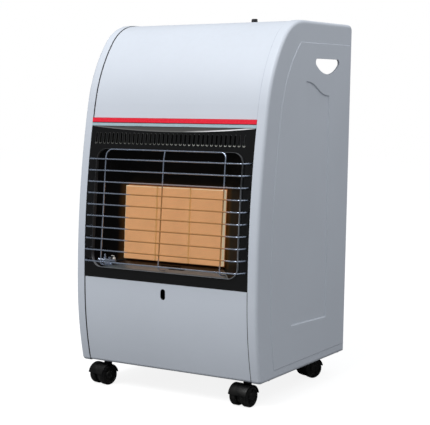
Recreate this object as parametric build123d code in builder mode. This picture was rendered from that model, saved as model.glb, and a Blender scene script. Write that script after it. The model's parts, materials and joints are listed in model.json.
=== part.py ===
from build123d import *
from math import asin, atan2, cos, degrees, hypot, radians, sin, sqrt, tan
import os

os.makedirs("parts", exist_ok=True)

# A portable gas cabinet heater on four castors. Millimetres, +Z up, front face towards -Y.
# The origin is on the floor, under the middle of the whole heater.

# ---------------------------------------------------------------- driving dimensions
cabinet_width = 420.0
cabinet_depth = 366.0
cabinet_height = 676.0
stand_off = 48.0            # floor to the underside of the cabinet
guard_stand_off = 17.0      # how far the wire guard reaches ahead of the cabinet's front
cover_bulge = 24.0          # how far the rear cover bulges behind the cabinet

# the cabinet's side outline: four arcs tangent to each other, then a flat top
bulge_height = 145.0        # height of the foremost point above the cabinet's underside
foot_radius = 650.0
front_radius = 1750.0
shoulder_radius = 285.0
front_bend = 12.27          # degrees the front leans back where the shoulder starts
shoulder_bend = 40.0        # degrees it leans back where the crown starts
rear_corner_radius = 12.0
rear_flare = 26.0           # how much deeper the cabinet is at its top than at its foot
foot_corner = 8.0           # rounding where the front meets the underside

# sheet metal
side_sheet = 1.2
panel_sheet = 1.0
shield_sheet = 0.8
base_sheet = 1.5
edge_radius = 7.0           # rounding between a side panel and its flanges
flange_width = 20.0
lap = 8.0                   # how far the front panels reach under the flanges
sheet_gap = 0.2             # between sheets that lap
fit_gap = 0.3               # between neighbouring pieces that don't touch

# pressed shapes of the side panels
field_raise = 1.2
field_margin = 50.0
field_top_drop = 42.0
field_rear_margin = 10.0
field_foot = 18.0
recess_depth = 2.4
recess_foot = 92.0
recess_front_foot = 130.0
recess_front_top = 186.0
recess_rear = 277.0         # the recess's rear edge at its foot
recess_top = 560.0
recess_rear_top = 532.0
recess_rear_drop = 6.0      # how much lower the recess's foot is at the rear
press_taper = 40.0
handle_width = 102.0
handle_height = 30.0
handle_middle = 276.0       # behind the cabinet's front
handle_top = 604.0          # above the cabinet's underside
handle_corner_run = 6.0       # where the hole's flat top turns into its corners
handle_corner_drop = 5.0
handle_shoulder_inset = 1.5
handle_shoulder_drop = 12.0
handle_rim_depth = 4.0
handle_rim_wall = 2.4

# heights of the front's zones above the cabinet's underside
lower_panel_top = 174.0
fascia_top = 473.0
pale_strip_height = 6.0
red_strip_height = 10.0
strip_proud = 0.8
panel_fold = 12.0
top_panel_drop = 30.0

keyhole_width = 11.0
keyhole_height = 21.0
keyhole_middle = 153.0

# fascia openings
mouth_width = 336.0
mouth_low = 195.0
mouth_high = 428.0
mouth_corner = 22.0
slot_count = 35
slot_pitch = 10.0
slot_aside = 5.0            # how far the row's middle lies to the left
slot_width = 4.0
slot_length = 21.0
slot_middle = 449.0
brow_sag = 9.0
brow_proud = 1.0

# burners and the reflector box round them
burner_lean = 4.0
plaque_front = 36.0         # behind the cabinet's front, at mid height
plaque_middle = 284.0
plaque_width = 73.4
plaque_height = 144.0
plaque_thickness = 13.0
burner_pitch = 76.8
burner_count = 3
housing_wall = 1.0
housing_depth = 24.0
housing_lip = 9.0           # how far a plaque stands out of its housing
back_plate_set = 11.0       # reflector's back plate behind the plaques' front
reflector_sheet = 0.8
reflector_margin = 4.0
collar_proud = 3.0
tray_slot_length = 48.0
tray_slot_width = 6.0
venturi_diameter = 18.0
venturi_wall = 1.0
venturi_mouth = 126.0       # height of the air intakes above the cabinet's underside
mouth_flare = 5.0
bracket_depth = 14.0        # angles that carry the burners on the reflector
bracket_sheet = 1.2

# gas train
train_depth = 54.0          # injectors, pipes and air intakes behind the cabinet's front
shield_depth = 78.0
shield_height = 588.0
shield_flange = 12.0
injector_top = 116.0
injector_length = 24.0
injector_hex = 12.0
hex_height = 6.0
rail_sheet = 1.5
rail_height = 102.0
pipe_diameter = 5.0
pipe_bend = 11.0
pipe_pitch = 9.0
pipe_column = 142.0         # the first pipe's run beside the burners
pipe_shelf = 66.0           # height of the first pipe's run under the injectors
pipe_pass = 505.0           # height where the pipes pass the heat shield
pilot_pipe_diameter = 4.0
lead_diameter = 2.6
lead_bend = 8.0
pass_height = 14.0

# pilot
pilot_x = -137.0
pilot_depth = 16.0
pilot_height = 208.0
electrode_spread = 11.0
ceramic_diameter = 6.0
pilot_plate_width = 8.6

# guard
wire_diameter = 2.6
guard_count = 10
guard_low = 209.0
guard_pitch = 22.2
guard_lean = 5.8
guard_half_width = 183.5
guard_end_bend = 174.0
guard_end_depth = 20.0
guard_hole_x = 182.3
guard_hole_length = 12.0
guard_post = 137.0
guard_bend_rise = 2.2       # from the topmost wire to where the rods bend back
guard_top_rise = 17.0
guard_set_back = 4.9
guard_corner = 12.0
wire_bend = 6.0
weld_sink = 0.3

# control
knob_x = 34.0
knob_depth = 290.0
knob_travel = 5.0
well_diameter = 60.0
well_depth = 10.0
well_radius = 2.0
dial_diameter = 56.0
dial_thickness = 1.0
skirt_diameter = 40.0
skirt_height = 5.0
knob_top = 12.5             # above the cabinet's top
grip_width = 13.0
grip_turn = 32.0            # the grip's turn from facing the front, at rest
spindle_diameter = 8.0
spindle_clearance = 1.0
running_gap = 0.05
valve_width = 46.0
valve_length = 44.0
valve_height = 38.0
bonnet_diameter = 22.0
bracket_plate_length = 60.0
bracket_plate_width = 34.0
valve_bracket_sheet = 1.5
valve_drop = 12.0           # underside of the well to the top of the valve body
outlet_spread = 10.0
spindle_depth = 12.0        # spindle inside the valve body at rest
plunger_diameter = 6.0
plunger_collar = 9.0
collar_height = 2.0
guide_length = 4.0
spring_bore = 10.5
spring_wire = 0.8
spring_turns = 4
nozzle_diameter = 9.0
nozzle_bore = 5.0
nozzle_length = 24.0

# rear cover
cover_inset = 7.0           # cover's edges inside the cabinet's sides
cover_foot = 8.0
cover_height = 470.0
cover_margin = 22.0
cover_sheet = 0.8
cover_slope = 14.0
peg_diameter = 5.0
peg_length = 12.0
peg_inset = 6.0
grip_slot_length = 90.0
grip_slot_width = 24.0

# platform for the gas bottle
platform_diameter = 250.0
platform_height = 2.0
platform_middle = 150.0     # behind the heat shield

# screws
screw_hole = 3.6
screw_head = 7.0
screw_head_height = 2.0
foot_screw_front = 60.0     # behind the cabinet's front
foot_screw_rear = 14.0      # ahead of its rear
top_screw_drop = 20.0
bracket_screw_reach = 20.0

# castors
wheel_diameter = 40.0
wheel_width = 15.0
web_thickness = 9.0
wheel_gap = 0.6
axle_diameter = 6.0
castor_inset = 46.0         # stems inside the cabinet's sides
castor_front = 44.0         # stems behind the cabinet's front
castor_rear = 50.0          # stems ahead of its rear
castor_trail = 13.0
hood_wall = 1.6
hood_gap = 1.0              # wheel's tread to the inside of the hood
hood_foot = 24.0
web_radius = 16.0
boss_diameter = 16.0
bearing_depth = 13.6
stem_diameter = 8.0
stem_length = 30.0
stem_top_gap = 0.5
socket_diameter = 13.0
socket_flange = 22.0
socket_sheet = 2.0

# ---------------------------------------------------------------- places worked out from them
rear_lean = degrees(atan2(rear_flare, cabinet_height))
cover_reach = (
    fit_gap + (cover_bulge - fit_gap) * cos(radians(rear_lean))
    + (cover_foot + cover_height - cover_margin - cover_slope) * sin(radians(rear_lean))
)
overall_depth = guard_stand_off + cabinet_depth + cover_reach
front_y = guard_stand_off - overall_depth / 2
guard_bend_height = guard_low + guard_pitch * (guard_count - 1) + guard_bend_rise
side_x = cabinet_width / 2
cover_half_width = side_x - cover_inset
castor_x = side_x - castor_inset
face_x = side_x - field_raise
inner_x = face_x - side_sheet
flange_x = face_x - flange_width
panel_inset = side_sheet + sheet_gap
top_z = stand_off + cabinet_height
bulge_z = stand_off + bulge_height
rear_y = front_y + cabinet_depth
crown_radius = (
    cabinet_height - bulge_height
    - (front_radius - shoulder_radius) * sin(radians(front_bend))
    - shoulder_radius * sin(radians(shoulder_bend))
) / (1 - sin(radians(shoulder_bend)))


def behind(distance):
    """Y of a point that lies a distance behind the cabinet's foremost line."""
    return front_y + distance


def above(height):
    """Z of a point that lies a height above the cabinet's underside."""
    return stand_off + height


def rear_surface(z, inset=0.0):
    """Y of the leaning rear, moved inwards by inset, at a height."""
    return rear_y + (z - stand_off) * tan(radians(rear_lean)) - inset / cos(radians(rear_lean))


def step(centre, reach, angle):
    """Centre of the next arc, a reach along the radius at an angle of lean."""
    return centre[0] - reach * cos(radians(angle)), centre[1] + reach * sin(radians(angle))


foot_centre = (behind(foot_radius), bulge_z)
front_centre = (behind(front_radius), bulge_z)
shoulder_centre = step(front_centre, front_radius - shoulder_radius, front_bend)
crown_centre = step(shoulder_centre, shoulder_radius - crown_radius, shoulder_bend)
rear_corner_z = top_z - rear_corner_radius
rear_corner = (rear_surface(rear_corner_z, rear_corner_radius), rear_corner_z)


def front_lean(z, inset=0.0):
    """Degrees the front leans back at a height between the foremost line and the shoulder."""
    return degrees(asin((z - bulge_z) / (front_radius - inset)))


def front_surface(z, inset=0.0):
    """Y of the front's surface, moved inwards by inset, at a height below the shoulder."""
    radius = front_radius if z > bulge_z else foot_radius
    return behind(radius) - sqrt((radius - inset) ** 2 - (z - bulge_z) ** 2)


def cabinet_outline(inset=0.0):
    """Draw the cabinet's side outline, moved inwards by inset."""
    low = stand_off + inset
    foot_angle = degrees(asin((bulge_z - low) / (foot_radius - inset)))
    with BuildSketch() as sketch:
        with BuildLine():
            foot_arc = CenterArc(foot_centre, foot_radius - inset, 180 + foot_angle, -foot_angle)
            CenterArc(front_centre, front_radius - inset, 180, -front_bend)
            CenterArc(shoulder_centre, shoulder_radius - inset, 180 - front_bend, front_bend - shoulder_bend)
            CenterArc(crown_centre, crown_radius - inset, 180 - shoulder_bend, shoulder_bend - 90)
            Line((crown_centre[0], top_z - inset), (rear_corner[0], top_z - inset))
            rear_arc = CenterArc(rear_corner, rear_corner_radius - inset, 90, -90 - rear_lean)
            rear_foot = (rear_surface(low, inset), low)
            Line(rear_arc @ 1, rear_foot)
            Line(rear_foot, foot_arc @ 0)
        make_face()
        fillet(sketch.vertices().group_by(Axis.Y)[0].sort_by(Axis.X)[0], radius=foot_corner - inset)
    return sketch.sketch


def front_band(low, high, inset, thickness):
    """Draw the section of a sheet that follows the front between two heights."""
    radius = front_radius - inset
    start = degrees(asin((low - bulge_z) / radius))
    end = degrees(asin((high - bulge_z) / radius))
    with BuildSketch() as sketch:
        with BuildLine():
            outer = CenterArc(front_centre, radius, 180 - start, start - end)
            inner = CenterArc(front_centre, radius - thickness, 180 - start, start - end)
            Line(outer @ 0, inner @ 0)
            Line(outer @ 1, inner @ 1)
        make_face()
    return sketch.sketch


def leaning_plane(lean, y, z):
    """A plane that faces the front and leans back: local X is X, local Y is up."""
    return Plane(origin=(0, y, z), x_dir=(1, 0, 0), z_dir=(0, -cos(radians(lean)), sin(radians(lean))))


# ---------------------------------------------------------------- side panels
def raised_field():
    """Draw the raised field of a side panel: it keeps one margin from the curved front."""
    top = top_z - field_top_drop
    low = above(field_foot)
    inset = field_margin
    foot_angle = degrees(asin((bulge_z - low) / (foot_radius - inset)))
    rise = degrees(asin((top - shoulder_centre[1]) / (shoulder_radius - inset)))
    rear_top = (rear_surface(top, field_rear_margin), top)
    rear_low = (rear_surface(low, field_rear_margin), low)
    with BuildSketch() as sketch:
        with BuildLine():
            foot_arc = CenterArc(foot_centre, foot_radius - inset, 180 + foot_angle, -foot_angle)
            CenterArc(front_centre, front_radius - inset, 180, -front_bend)
            shoulder = CenterArc(shoulder_centre, shoulder_radius - inset, 180 - front_bend, front_bend - rise)
            Line(shoulder @ 1, rear_top)
            Line(rear_top, rear_low)
            Line(rear_low, foot_arc @ 0)
        make_face()
    return sketch.sketch


def pressed_recess(grow=0.0):
    """Draw the recess of a side panel, with its top edge falling in an S towards the rear."""
    foot_z = above(recess_foot)
    front_foot = (behind(recess_front_foot), foot_z)
    front_top = (behind(recess_front_top), above(recess_top))
    rear_lean_run = (recess_rear_top - recess_foot) * tan(radians(rear_lean)) / 2
    rear_top = (behind(recess_rear) + rear_lean_run, above(recess_rear_top))
    rear_foot = (behind(recess_rear), foot_z - recess_rear_drop)
    middle = ((front_top[0] + rear_top[0]) / 2, (front_top[1] + rear_top[1]) / 2)
    with BuildSketch() as sketch:
        with BuildLine():
            Line(front_foot, rear_foot)
            Line(rear_foot, rear_top)
            TangentArc(rear_top, middle, tangent=(-1, 0))
            TangentArc(front_top, middle, tangent=(1, 0))
            RadiusArc(front_foot, front_top, -front_radius)
        make_face()
        if grow:
            offset(amount=grow)
    return sketch.sketch


def handle_outline(grow=0.0):
    """Draw the D-shaped handle hole, flat side up."""
    half = handle_width / 2 + grow
    top = above(handle_top) + grow
    middle = behind(handle_middle)
    flat = half - handle_corner_run
    side_z = above(handle_top) - handle_corner_drop
    shoulder = half - handle_shoulder_inset
    shoulder_z = above(handle_top) - handle_shoulder_drop
    low_z = above(handle_top) - handle_height - grow
    with BuildSketch() as sketch:
        with BuildLine():
            Line((middle - flat, top), (middle + flat, top))
            ThreePointArc((middle + flat, top), (middle + half, side_z), (middle + shoulder, shoulder_z))
            ThreePointArc((middle + shoulder, shoulder_z), (middle, low_z), (middle - shoulder, shoulder_z))
            ThreePointArc((middle - shoulder, shoulder_z), (middle - half, side_z), (middle - flat, top))
        make_face()
    return sketch.sketch


# screws through the side panels' flanges: upwards at the foot, forwards at the top
screw_x = flange_x + flange_width / 2
foot_screw_ys = (behind(foot_screw_front), rear_y - foot_screw_rear)
foot_screw_places = [
    (x, y) for x in (-screw_x, screw_x) for y in (foot_screw_ys[0], sum(foot_screw_ys) / 2, foot_screw_ys[1])
]
# on the leaning rear a place is (x, distance up the slope from the cabinet's underside)
rear_plane = leaning_plane(rear_lean, rear_y, stand_off)
cover_plane = rear_plane.offset(-fit_gap)
top_screw_rise = (cabinet_height - top_screw_drop) / cos(radians(rear_lean))
top_screw_places = [(x, top_screw_rise) for x in (-flange_x - lap / 2, flange_x + lap / 2)]
peg_places = [
    (x, rise)
    for x in (-cover_half_width + peg_inset, cover_half_width - peg_inset)
    for rise in (cover_foot + 4 * peg_inset, cover_foot + cover_height - 4 * peg_inset)
]

with BuildPart() as right_side_panel:
    with BuildSketch(Plane.YZ.offset(flange_x)):
        add(cabinet_outline())
    extrude(amount=flange_width)
    fillet(right_side_panel.faces().sort_by(Axis.X)[-1].edges(), radius=edge_radius)
    with BuildPart(mode=Mode.PRIVATE) as side_hollow:
        with BuildSketch(Plane.YZ.offset(flange_x)):
            add(cabinet_outline(side_sheet))
        extrude(amount=flange_width - side_sheet)
        fillet(side_hollow.faces().sort_by(Axis.X)[-1].edges(), radius=edge_radius - side_sheet)
    add(side_hollow.part, mode=Mode.SUBTRACT)
    # the raised field, pressed outwards
    with BuildSketch(Plane.YZ.offset(face_x)):
        add(raised_field())
    extrude(amount=field_raise, taper=press_taper)
    with BuildSketch(Plane.YZ.offset(inner_x)):
        add(raised_field())
    extrude(amount=field_raise, taper=press_taper, mode=Mode.SUBTRACT)
    # the recess inside the field, pressed inwards
    with BuildSketch(Plane.YZ.offset(side_x - side_sheet)):
        add(pressed_recess(side_sheet))
    extrude(amount=-recess_depth)
    with BuildSketch(Plane.YZ.offset(side_x)):
        add(pressed_recess())
    extrude(amount=-recess_depth, taper=press_taper, mode=Mode.SUBTRACT)
    # the handle hole and its inward rim
    with BuildSketch(Plane.YZ.offset(side_x)):
        add(handle_outline(handle_rim_wall))
    extrude(amount=-handle_rim_depth)
    with BuildSketch(Plane.YZ.offset(side_x)):
        add(handle_outline())
    extrude(amount=-handle_rim_depth, mode=Mode.SUBTRACT)
    # holes for the rear cover's pegs
    with BuildSketch(rear_plane.offset(-1)):
        with Locations(*[place for place in peg_places if place[0] > 0]):
            Circle(peg_diameter / 2 + 2 * running_gap)
        with Locations(top_screw_places[1]):
            Circle(screw_hole / 2)
    extrude(amount=2 + side_sheet, mode=Mode.SUBTRACT)
    with BuildSketch(Plane.XY.offset(stand_off - side_sheet)):
        with Locations(*[place for place in foot_screw_places if place[0] > 0]):
            Circle(screw_hole / 2)
    extrude(amount=3 * side_sheet, mode=Mode.SUBTRACT)
right_side_panel.part.label = "right_side_panel"
export_step(right_side_panel.part, "parts/right_side_panel.step")

with BuildPart() as left_side_panel:
    mirror(right_side_panel.part, about=Plane.YZ)
left_side_panel.part.label = "left_side_panel"
export_step(left_side_panel.part, "parts/left_side_panel.step")

# ---------------------------------------------------------------- front panels and trim
def sheet_section(inset, thickness):
    """Draw the top panel's section: it follows the outline from the trim over the top and
    down behind the rear corner."""
    start = front_lean(above(fascia_top + pale_strip_height + red_strip_height), inset)
    drop_z = top_z - top_panel_drop
    ends = []
    with BuildSketch() as sketch:
        with BuildLine():
            for depth in (inset, inset + thickness):
                first = CenterArc(front_centre, front_radius - depth, 180 - start, start - front_bend)
                CenterArc(
                    shoulder_centre, shoulder_radius - depth, 180 - front_bend, front_bend - shoulder_bend
                )
                CenterArc(crown_centre, crown_radius - depth, 180 - shoulder_bend, shoulder_bend - 90)
                Line((crown_centre[0], top_z - depth), (rear_corner[0], top_z - depth))
                rear_arc = CenterArc(rear_corner, rear_corner_radius - depth, 90, -90 - rear_lean)
                last = Line(rear_arc @ 1, (rear_surface(drop_z, depth), drop_z))
                ends.append((first @ 0, last @ 1))
            Line(ends[0][0], ends[1][0])
            Line(ends[0][1], ends[1][1])
        make_face()
    return sketch.sketch


lap_x = flange_x + lap
trim_x = flange_x - fit_gap
well_z = top_z - panel_inset - well_depth
knob_y = behind(knob_depth)

with BuildPart() as top_panel:
    with BuildSketch(Plane.YZ):
        add(sheet_section(panel_inset, panel_sheet))
    extrude(amount=lap_x, both=True)
    # the round well that the control knob sits in
    with BuildSketch(Plane.XY.offset(well_z - panel_sheet)):
        with Locations((knob_x, knob_y)):
            Circle(well_diameter / 2 + panel_sheet)
    extrude(amount=well_depth)
    with BuildSketch(Plane.XY.offset(well_z)):
        with Locations((knob_x, knob_y)):
            Circle(well_diameter / 2)
    extrude(amount=well_depth + panel_inset, mode=Mode.SUBTRACT)
    with BuildSketch(Plane.XY.offset(well_z - 2 * panel_sheet)):
        with Locations((knob_x, knob_y)):
            Circle(spindle_diameter / 2 + spindle_clearance)
            with GridLocations(2 * bracket_screw_reach, 0, 2, 1):
                Circle(screw_hole / 2)
    extrude(amount=3 * panel_sheet, mode=Mode.SUBTRACT)
    with BuildSketch(rear_plane):
        with Locations(*top_screw_places):
            Circle(screw_hole / 2)
    extrude(amount=panel_fold, mode=Mode.SUBTRACT)
    mouth_edges = top_panel.edges().filter_by(GeomType.CIRCLE).filter_by(
        lambda edge: abs(edge.center().Z - top_z + panel_inset) < 0.01 and edge.radius < well_diameter
    )
    fillet(mouth_edges, radius=panel_sheet * 0.8)
top_panel.part.label = "top_panel"
export_step(top_panel.part, "parts/top_panel.step")

# the mouth of the reflector box lies on the chord of the curved front, behind the fascia
mouth_inset = panel_inset + panel_sheet + fit_gap
mouth_low_y = front_surface(above(mouth_low), mouth_inset)
mouth_high_y = front_surface(above(mouth_high), mouth_inset)
mouth_length = hypot(mouth_high - mouth_low, mouth_high_y - mouth_low_y)
mouth_lean = degrees(atan2(mouth_high_y - mouth_low_y, mouth_high - mouth_low))
mouth_plane = leaning_plane(mouth_lean, (mouth_low_y + mouth_high_y) / 2, above((mouth_low + mouth_high) / 2))

with BuildPart() as fascia:
    with BuildSketch(Plane.YZ):
        add(front_band(above(lower_panel_top) + fit_gap, above(fascia_top + pale_strip_height + red_strip_height)
                       - fit_gap, panel_inset, panel_sheet))
    extrude(amount=lap_x, both=True)
    # the brow under the trim, lowest in the middle
    brow_z = above(fascia_top) - 3 * fit_gap
    with BuildPart(mode=Mode.PRIVATE) as brow:
        with BuildSketch(Plane.XZ.offset(-behind(0))):
            with BuildLine():
                chord = Line((-trim_x, brow_z), (trim_x, brow_z))
                ThreePointArc(chord @ 0, (0, brow_z - brow_sag), chord @ 1)
            make_face()
        extrude(amount=-cabinet_depth / 4)
        with BuildSketch(Plane.YZ):
            add(front_band(above(lower_panel_top), above(fascia_top), panel_inset - brow_proud,
                           brow_proud + panel_sheet / 2))
        extrude(amount=side_x, both=True, mode=Mode.INTERSECT)
    add(brow.part)
    # the mouth of the reflector box
    with BuildSketch(mouth_plane):
        RectangleRounded(mouth_width + 2 * fit_gap, mouth_length + 2 * fit_gap, mouth_corner + fit_gap)
    extrude(amount=panel_fold, both=True, mode=Mode.SUBTRACT)
    # the row of vents
    with BuildSketch(Plane.XZ.offset(-front_y)):
        with Locations((-slot_aside, above(slot_middle))):
            with GridLocations(slot_pitch, 0, slot_count, 1):
                SlotOverall(slot_length, slot_width, rotation=90)
    extrude(amount=-cabinet_depth / 4, mode=Mode.SUBTRACT)
    # holes that the guard's wire ends reach into
    with BuildSketch(Plane.XZ.offset(-front_y)):
        with Locations((0, above(guard_low + guard_pitch * (guard_count - 1) / 2))):
            with GridLocations(2 * guard_hole_x, guard_pitch, 2, guard_count):
                SlotOverall(guard_hole_length, wire_diameter + 4 * fit_gap)
    extrude(amount=-cabinet_depth / 4, mode=Mode.SUBTRACT)
fascia.part.label = "fascia"
export_step(fascia.part, "parts/fascia.step")


def trim_strip(low, high, proud):
    """A strip between the side panels, on the fascia's face."""
    with BuildPart() as strip:
        with BuildSketch(Plane.YZ):
            add(front_band(low, high, -proud, proud + panel_inset))
        extrude(amount=trim_x, both=True)
        fillet(strip.faces().sort_by(Axis.Y)[0].edges().filter_by(Axis.X), radius=proud * 0.9)
    return strip.part


pale_low = above(fascia_top)
red_low = pale_low + pale_strip_height
with BuildPart() as pale_trim_strip:
    add(trim_strip(pale_low, red_low - sheet_gap / 2, strip_proud * 0.6))
pale_trim_strip.part.label = "pale_trim_strip"
export_step(pale_trim_strip.part, "parts/pale_trim_strip.step")

with BuildPart() as red_trim_strip:
    add(trim_strip(red_low, red_low + red_strip_height - fit_gap, strip_proud))
red_trim_strip.part.label = "red_trim_strip"
export_step(red_trim_strip.part, "parts/red_trim_strip.step")

with BuildPart() as lower_front_panel:
    with BuildPart(mode=Mode.PRIVATE) as behind_front:
        with BuildSketch(Plane.YZ.offset(-lap_x)):
            add(cabinet_outline(panel_inset))
        extrude(amount=2 * lap_x)
    with BuildPart(mode=Mode.PRIVATE) as inside_sheet:
        with BuildSketch(Plane.YZ.offset(-lap_x)):
            add(cabinet_outline(panel_inset + panel_sheet))
        extrude(amount=2 * lap_x)
    # the sheet, cut to its height, with a fold along the top and the foot
    add(behind_front.part)
    add(inside_sheet.part, mode=Mode.SUBTRACT)
    foot_z = stand_off + panel_inset
    panel_top = above(lower_panel_top)
    fold_y = front_surface(above(0), panel_inset) + panel_fold
    with BuildSketch(Plane.YZ.offset(-lap_x)):
        with BuildLine():
            Polyline(
                (behind(-panel_fold), stand_off), (fold_y, stand_off), (fold_y, panel_top),
                (behind(-panel_fold), panel_top), close=True,
            )
        make_face()
    extrude(amount=2 * lap_x, mode=Mode.INTERSECT)
    top_front = front_surface(panel_top, panel_inset)
    with BuildSketch(Plane.YZ):
        with BuildLine():
            Polyline(
                (top_front + panel_sheet / 2, panel_top), (top_front + panel_fold, panel_top),
                (top_front + panel_fold, panel_top - panel_sheet),
                (top_front + panel_sheet / 2, panel_top - panel_sheet), close=True,
            )
        make_face()
    extrude(amount=trim_x, both=True)
    with BuildSketch(Plane.XZ.offset(-front_y)):
        with Locations((0, above(keyhole_middle))):
            SlotOverall(keyhole_height, keyhole_width, rotation=90)
    extrude(amount=-2 * panel_fold, mode=Mode.SUBTRACT)
lower_front_panel.part.label = "lower_front_panel"
export_step(lower_front_panel.part, "parts/lower_front_panel.step")

# ---------------------------------------------------------------- base and heat shield
base_low = stand_off + side_sheet + sheet_gap + panel_sheet + sheet_gap
base_top = base_low + base_sheet
base_rise = edge_radius - (base_low - stand_off)
base_x = face_x - edge_radius + sqrt((edge_radius - side_sheet) ** 2 - base_rise ** 2) - fit_gap
base_front = front_surface(base_low, panel_inset + panel_sheet) + foot_corner
castor_places = [
    (name, x, behind(y), turn)
    for name, x, y, turn in (
        ("front_left", -castor_x, castor_front, -12.0),
        ("front_right", castor_x, castor_front, -6.0),
        ("rear_left", -castor_x, cabinet_depth - castor_rear, -6.0),
        ("rear_right", castor_x, cabinet_depth - castor_rear, -28.0),
    )
]
base_rear = rear_y - side_sheet - fit_gap

with BuildPart() as base_plate:
    with BuildSketch(Plane.XY.offset(base_low)):
        with BuildLine():
            Polyline(
                (-base_x, base_front), (base_x, base_front), (base_x, base_rear), (-base_x, base_rear),
                close=True,
            )
        make_face()
    extrude(amount=base_sheet)
    fillet(base_plate.edges().filter_by(Axis.Z), radius=edge_radius)
    # upright edges along both sides
    with BuildSketch(Plane.XY.offset(base_low)):
        with Locations((0, (base_front + base_rear) / 2)):
            with GridLocations(2 * base_x - base_sheet, 0, 2, 1):
                Rectangle(base_sheet, base_rear - base_front - 4 * edge_radius)
    extrude(amount=panel_fold)
    with BuildSketch(Plane.XY.offset(base_low)):
        with Locations(*[(x, y) for name, x, y, turn in castor_places]):
            Circle(socket_diameter / 2 + running_gap)
        with Locations(*foot_screw_places):
            Circle(screw_hole / 2)
    extrude(amount=panel_fold, mode=Mode.SUBTRACT)
    # the pressed round platform that the gas bottle stands on
    with BuildSketch(Plane.XY.offset(base_top)):
        with Locations((0, behind(shield_depth + platform_middle))):
            Circle(platform_diameter / 2)
    extrude(amount=platform_height)
    with BuildSketch(Plane.XY.offset(base_low)):
        with Locations((0, behind(shield_depth + platform_middle))):
            Circle(platform_diameter / 2 - base_sheet)
    extrude(amount=platform_height, mode=Mode.SUBTRACT)
base_plate.part.label = "base_plate"
export_step(base_plate.part, "parts/base_plate.step")

shield_front = behind(shield_depth)
pipe_names = ("burner_pipe_right", "burner_pipe_middle", "burner_pipe_left", "pilot_pipe")
pass_middle = pipe_column + pipe_pitch * (len(pipe_names) - 1) / 2
pass_width = pipe_pitch * len(pipe_names) + pipe_diameter

with BuildPart() as heat_shield:
    with BuildSketch(Plane.XZ.offset(-shield_front)):
        with BuildLine():
            Polyline(
                (-base_x, base_top), (base_x, base_top), (base_x, above(shield_height)),
                (-base_x, above(shield_height)), close=True,
            )
        make_face()
    extrude(amount=-shield_sheet)
    with BuildSketch(Plane.XY.offset(base_top + panel_fold)):
        with Locations((0, shield_front + shield_flange / 2)):
            with GridLocations(2 * base_x - shield_sheet, 0, 2, 1):
                Rectangle(shield_sheet, shield_flange)
    extrude(amount=above(shield_height) - base_top - panel_fold)
    with BuildSketch(Plane.XY.offset(above(shield_height) - shield_sheet)):
        with Locations((0, shield_front + shield_flange / 2)):
            Rectangle(2 * base_x, shield_flange)
    extrude(amount=shield_sheet)
    # openings for the pipes on one side and for the leads on the other
    with BuildSketch(Plane.XZ.offset(-shield_front + 1)):
        with Locations((pass_middle, above(pipe_pass))):
            RectangleRounded(pass_width, pass_height, pass_height / 3)
        with Locations((pilot_x, above(pipe_pass))):
            RectangleRounded(2 * electrode_spread + pass_height, pass_height, pass_height / 3)
    extrude(amount=-shield_flange / 2, mode=Mode.SUBTRACT)
    # notches that clear the base plate's upright edges
    with BuildSketch(Plane.XY.offset(base_top)):
        with Locations((0, shield_front)):
            with GridLocations(2 * base_x - base_sheet, 0, 2, 1):
                Rectangle(base_sheet + 2 * fit_gap, 4 * shield_sheet)
    extrude(amount=panel_fold, mode=Mode.SUBTRACT)
heat_shield.part.label = "heat_shield"
export_step(heat_shield.part, "parts/heat_shield.step")

# ---------------------------------------------------------------- reflector box and burners
burner_plane = leaning_plane(burner_lean, behind(plaque_front), above(plaque_middle))
housing_width = plaque_width + 2 * (fit_gap + housing_wall)
housing_height = plaque_height + 2 * (fit_gap + housing_wall)
burner_span = (burner_count - 1) * burner_pitch + housing_width
back_plane = burner_plane.offset(-back_plate_set)
back_width = burner_span + 2 * reflector_margin
back_height = housing_height + 2 * reflector_margin
back_corner = 2 * reflector_margin
pilot_y = behind(pilot_depth)
pilot_spots = [(pilot_x + offset_x, pilot_y) for offset_x in (-electrode_spread, 0, electrode_spread)]

with BuildPart() as firebox:
    with BuildSketch(mouth_plane):
        RectangleRounded(mouth_width, mouth_length, mouth_corner)
    with BuildSketch(back_plane):
        RectangleRounded(back_width, back_height, back_corner)
    loft()
    with BuildPart(mode=Mode.PRIVATE) as firebox_hollow:
        with BuildSketch(mouth_plane):
            RectangleRounded(
                mouth_width - 2 * reflector_sheet, mouth_length - 2 * reflector_sheet,
                mouth_corner - reflector_sheet,
            )
        with BuildSketch(back_plane):
            RectangleRounded(
                back_width - 2 * reflector_sheet, back_height - 2 * reflector_sheet,
                back_corner - reflector_sheet,
            )
        loft()
    add(firebox_hollow.part, mode=Mode.SUBTRACT)
    with BuildSketch(back_plane):
        RectangleRounded(back_width, back_height, back_corner)
        Rectangle(burner_span + 2 * fit_gap, housing_height + 2 * fit_gap, mode=Mode.SUBTRACT)
    extrude(amount=-reflector_sheet)
    # the collar that stands out of the fascia as a rim
    with BuildPart(mode=Mode.PRIVATE) as collar:
        with BuildSketch(mouth_plane):
            RectangleRounded(mouth_width, mouth_length, mouth_corner)
            RectangleRounded(
                mouth_width - 2 * reflector_sheet, mouth_length - 2 * reflector_sheet,
                mouth_corner - reflector_sheet, mode=Mode.SUBTRACT,
            )
        extrude(amount=panel_fold)
        with BuildSketch(Plane.YZ):
            add(cabinet_outline(-collar_proud))
        extrude(amount=side_x, both=True, mode=Mode.INTERSECT)
    add(collar.part)
    # an opening in the floor for the pilot burner, its probe and its electrode
    with BuildSketch(Plane.XY.offset(above(mouth_low) - panel_fold)):
        with Locations(pilot_spots[1]):
            SlotOverall(2 * electrode_spread + pilot_plate_width + 3 * fit_gap, pilot_plate_width + 3 * fit_gap)
    extrude(amount=4 * panel_fold, mode=Mode.SUBTRACT)
firebox.part.label = "firebox"
export_step(firebox.part, "parts/firebox.step")

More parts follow.
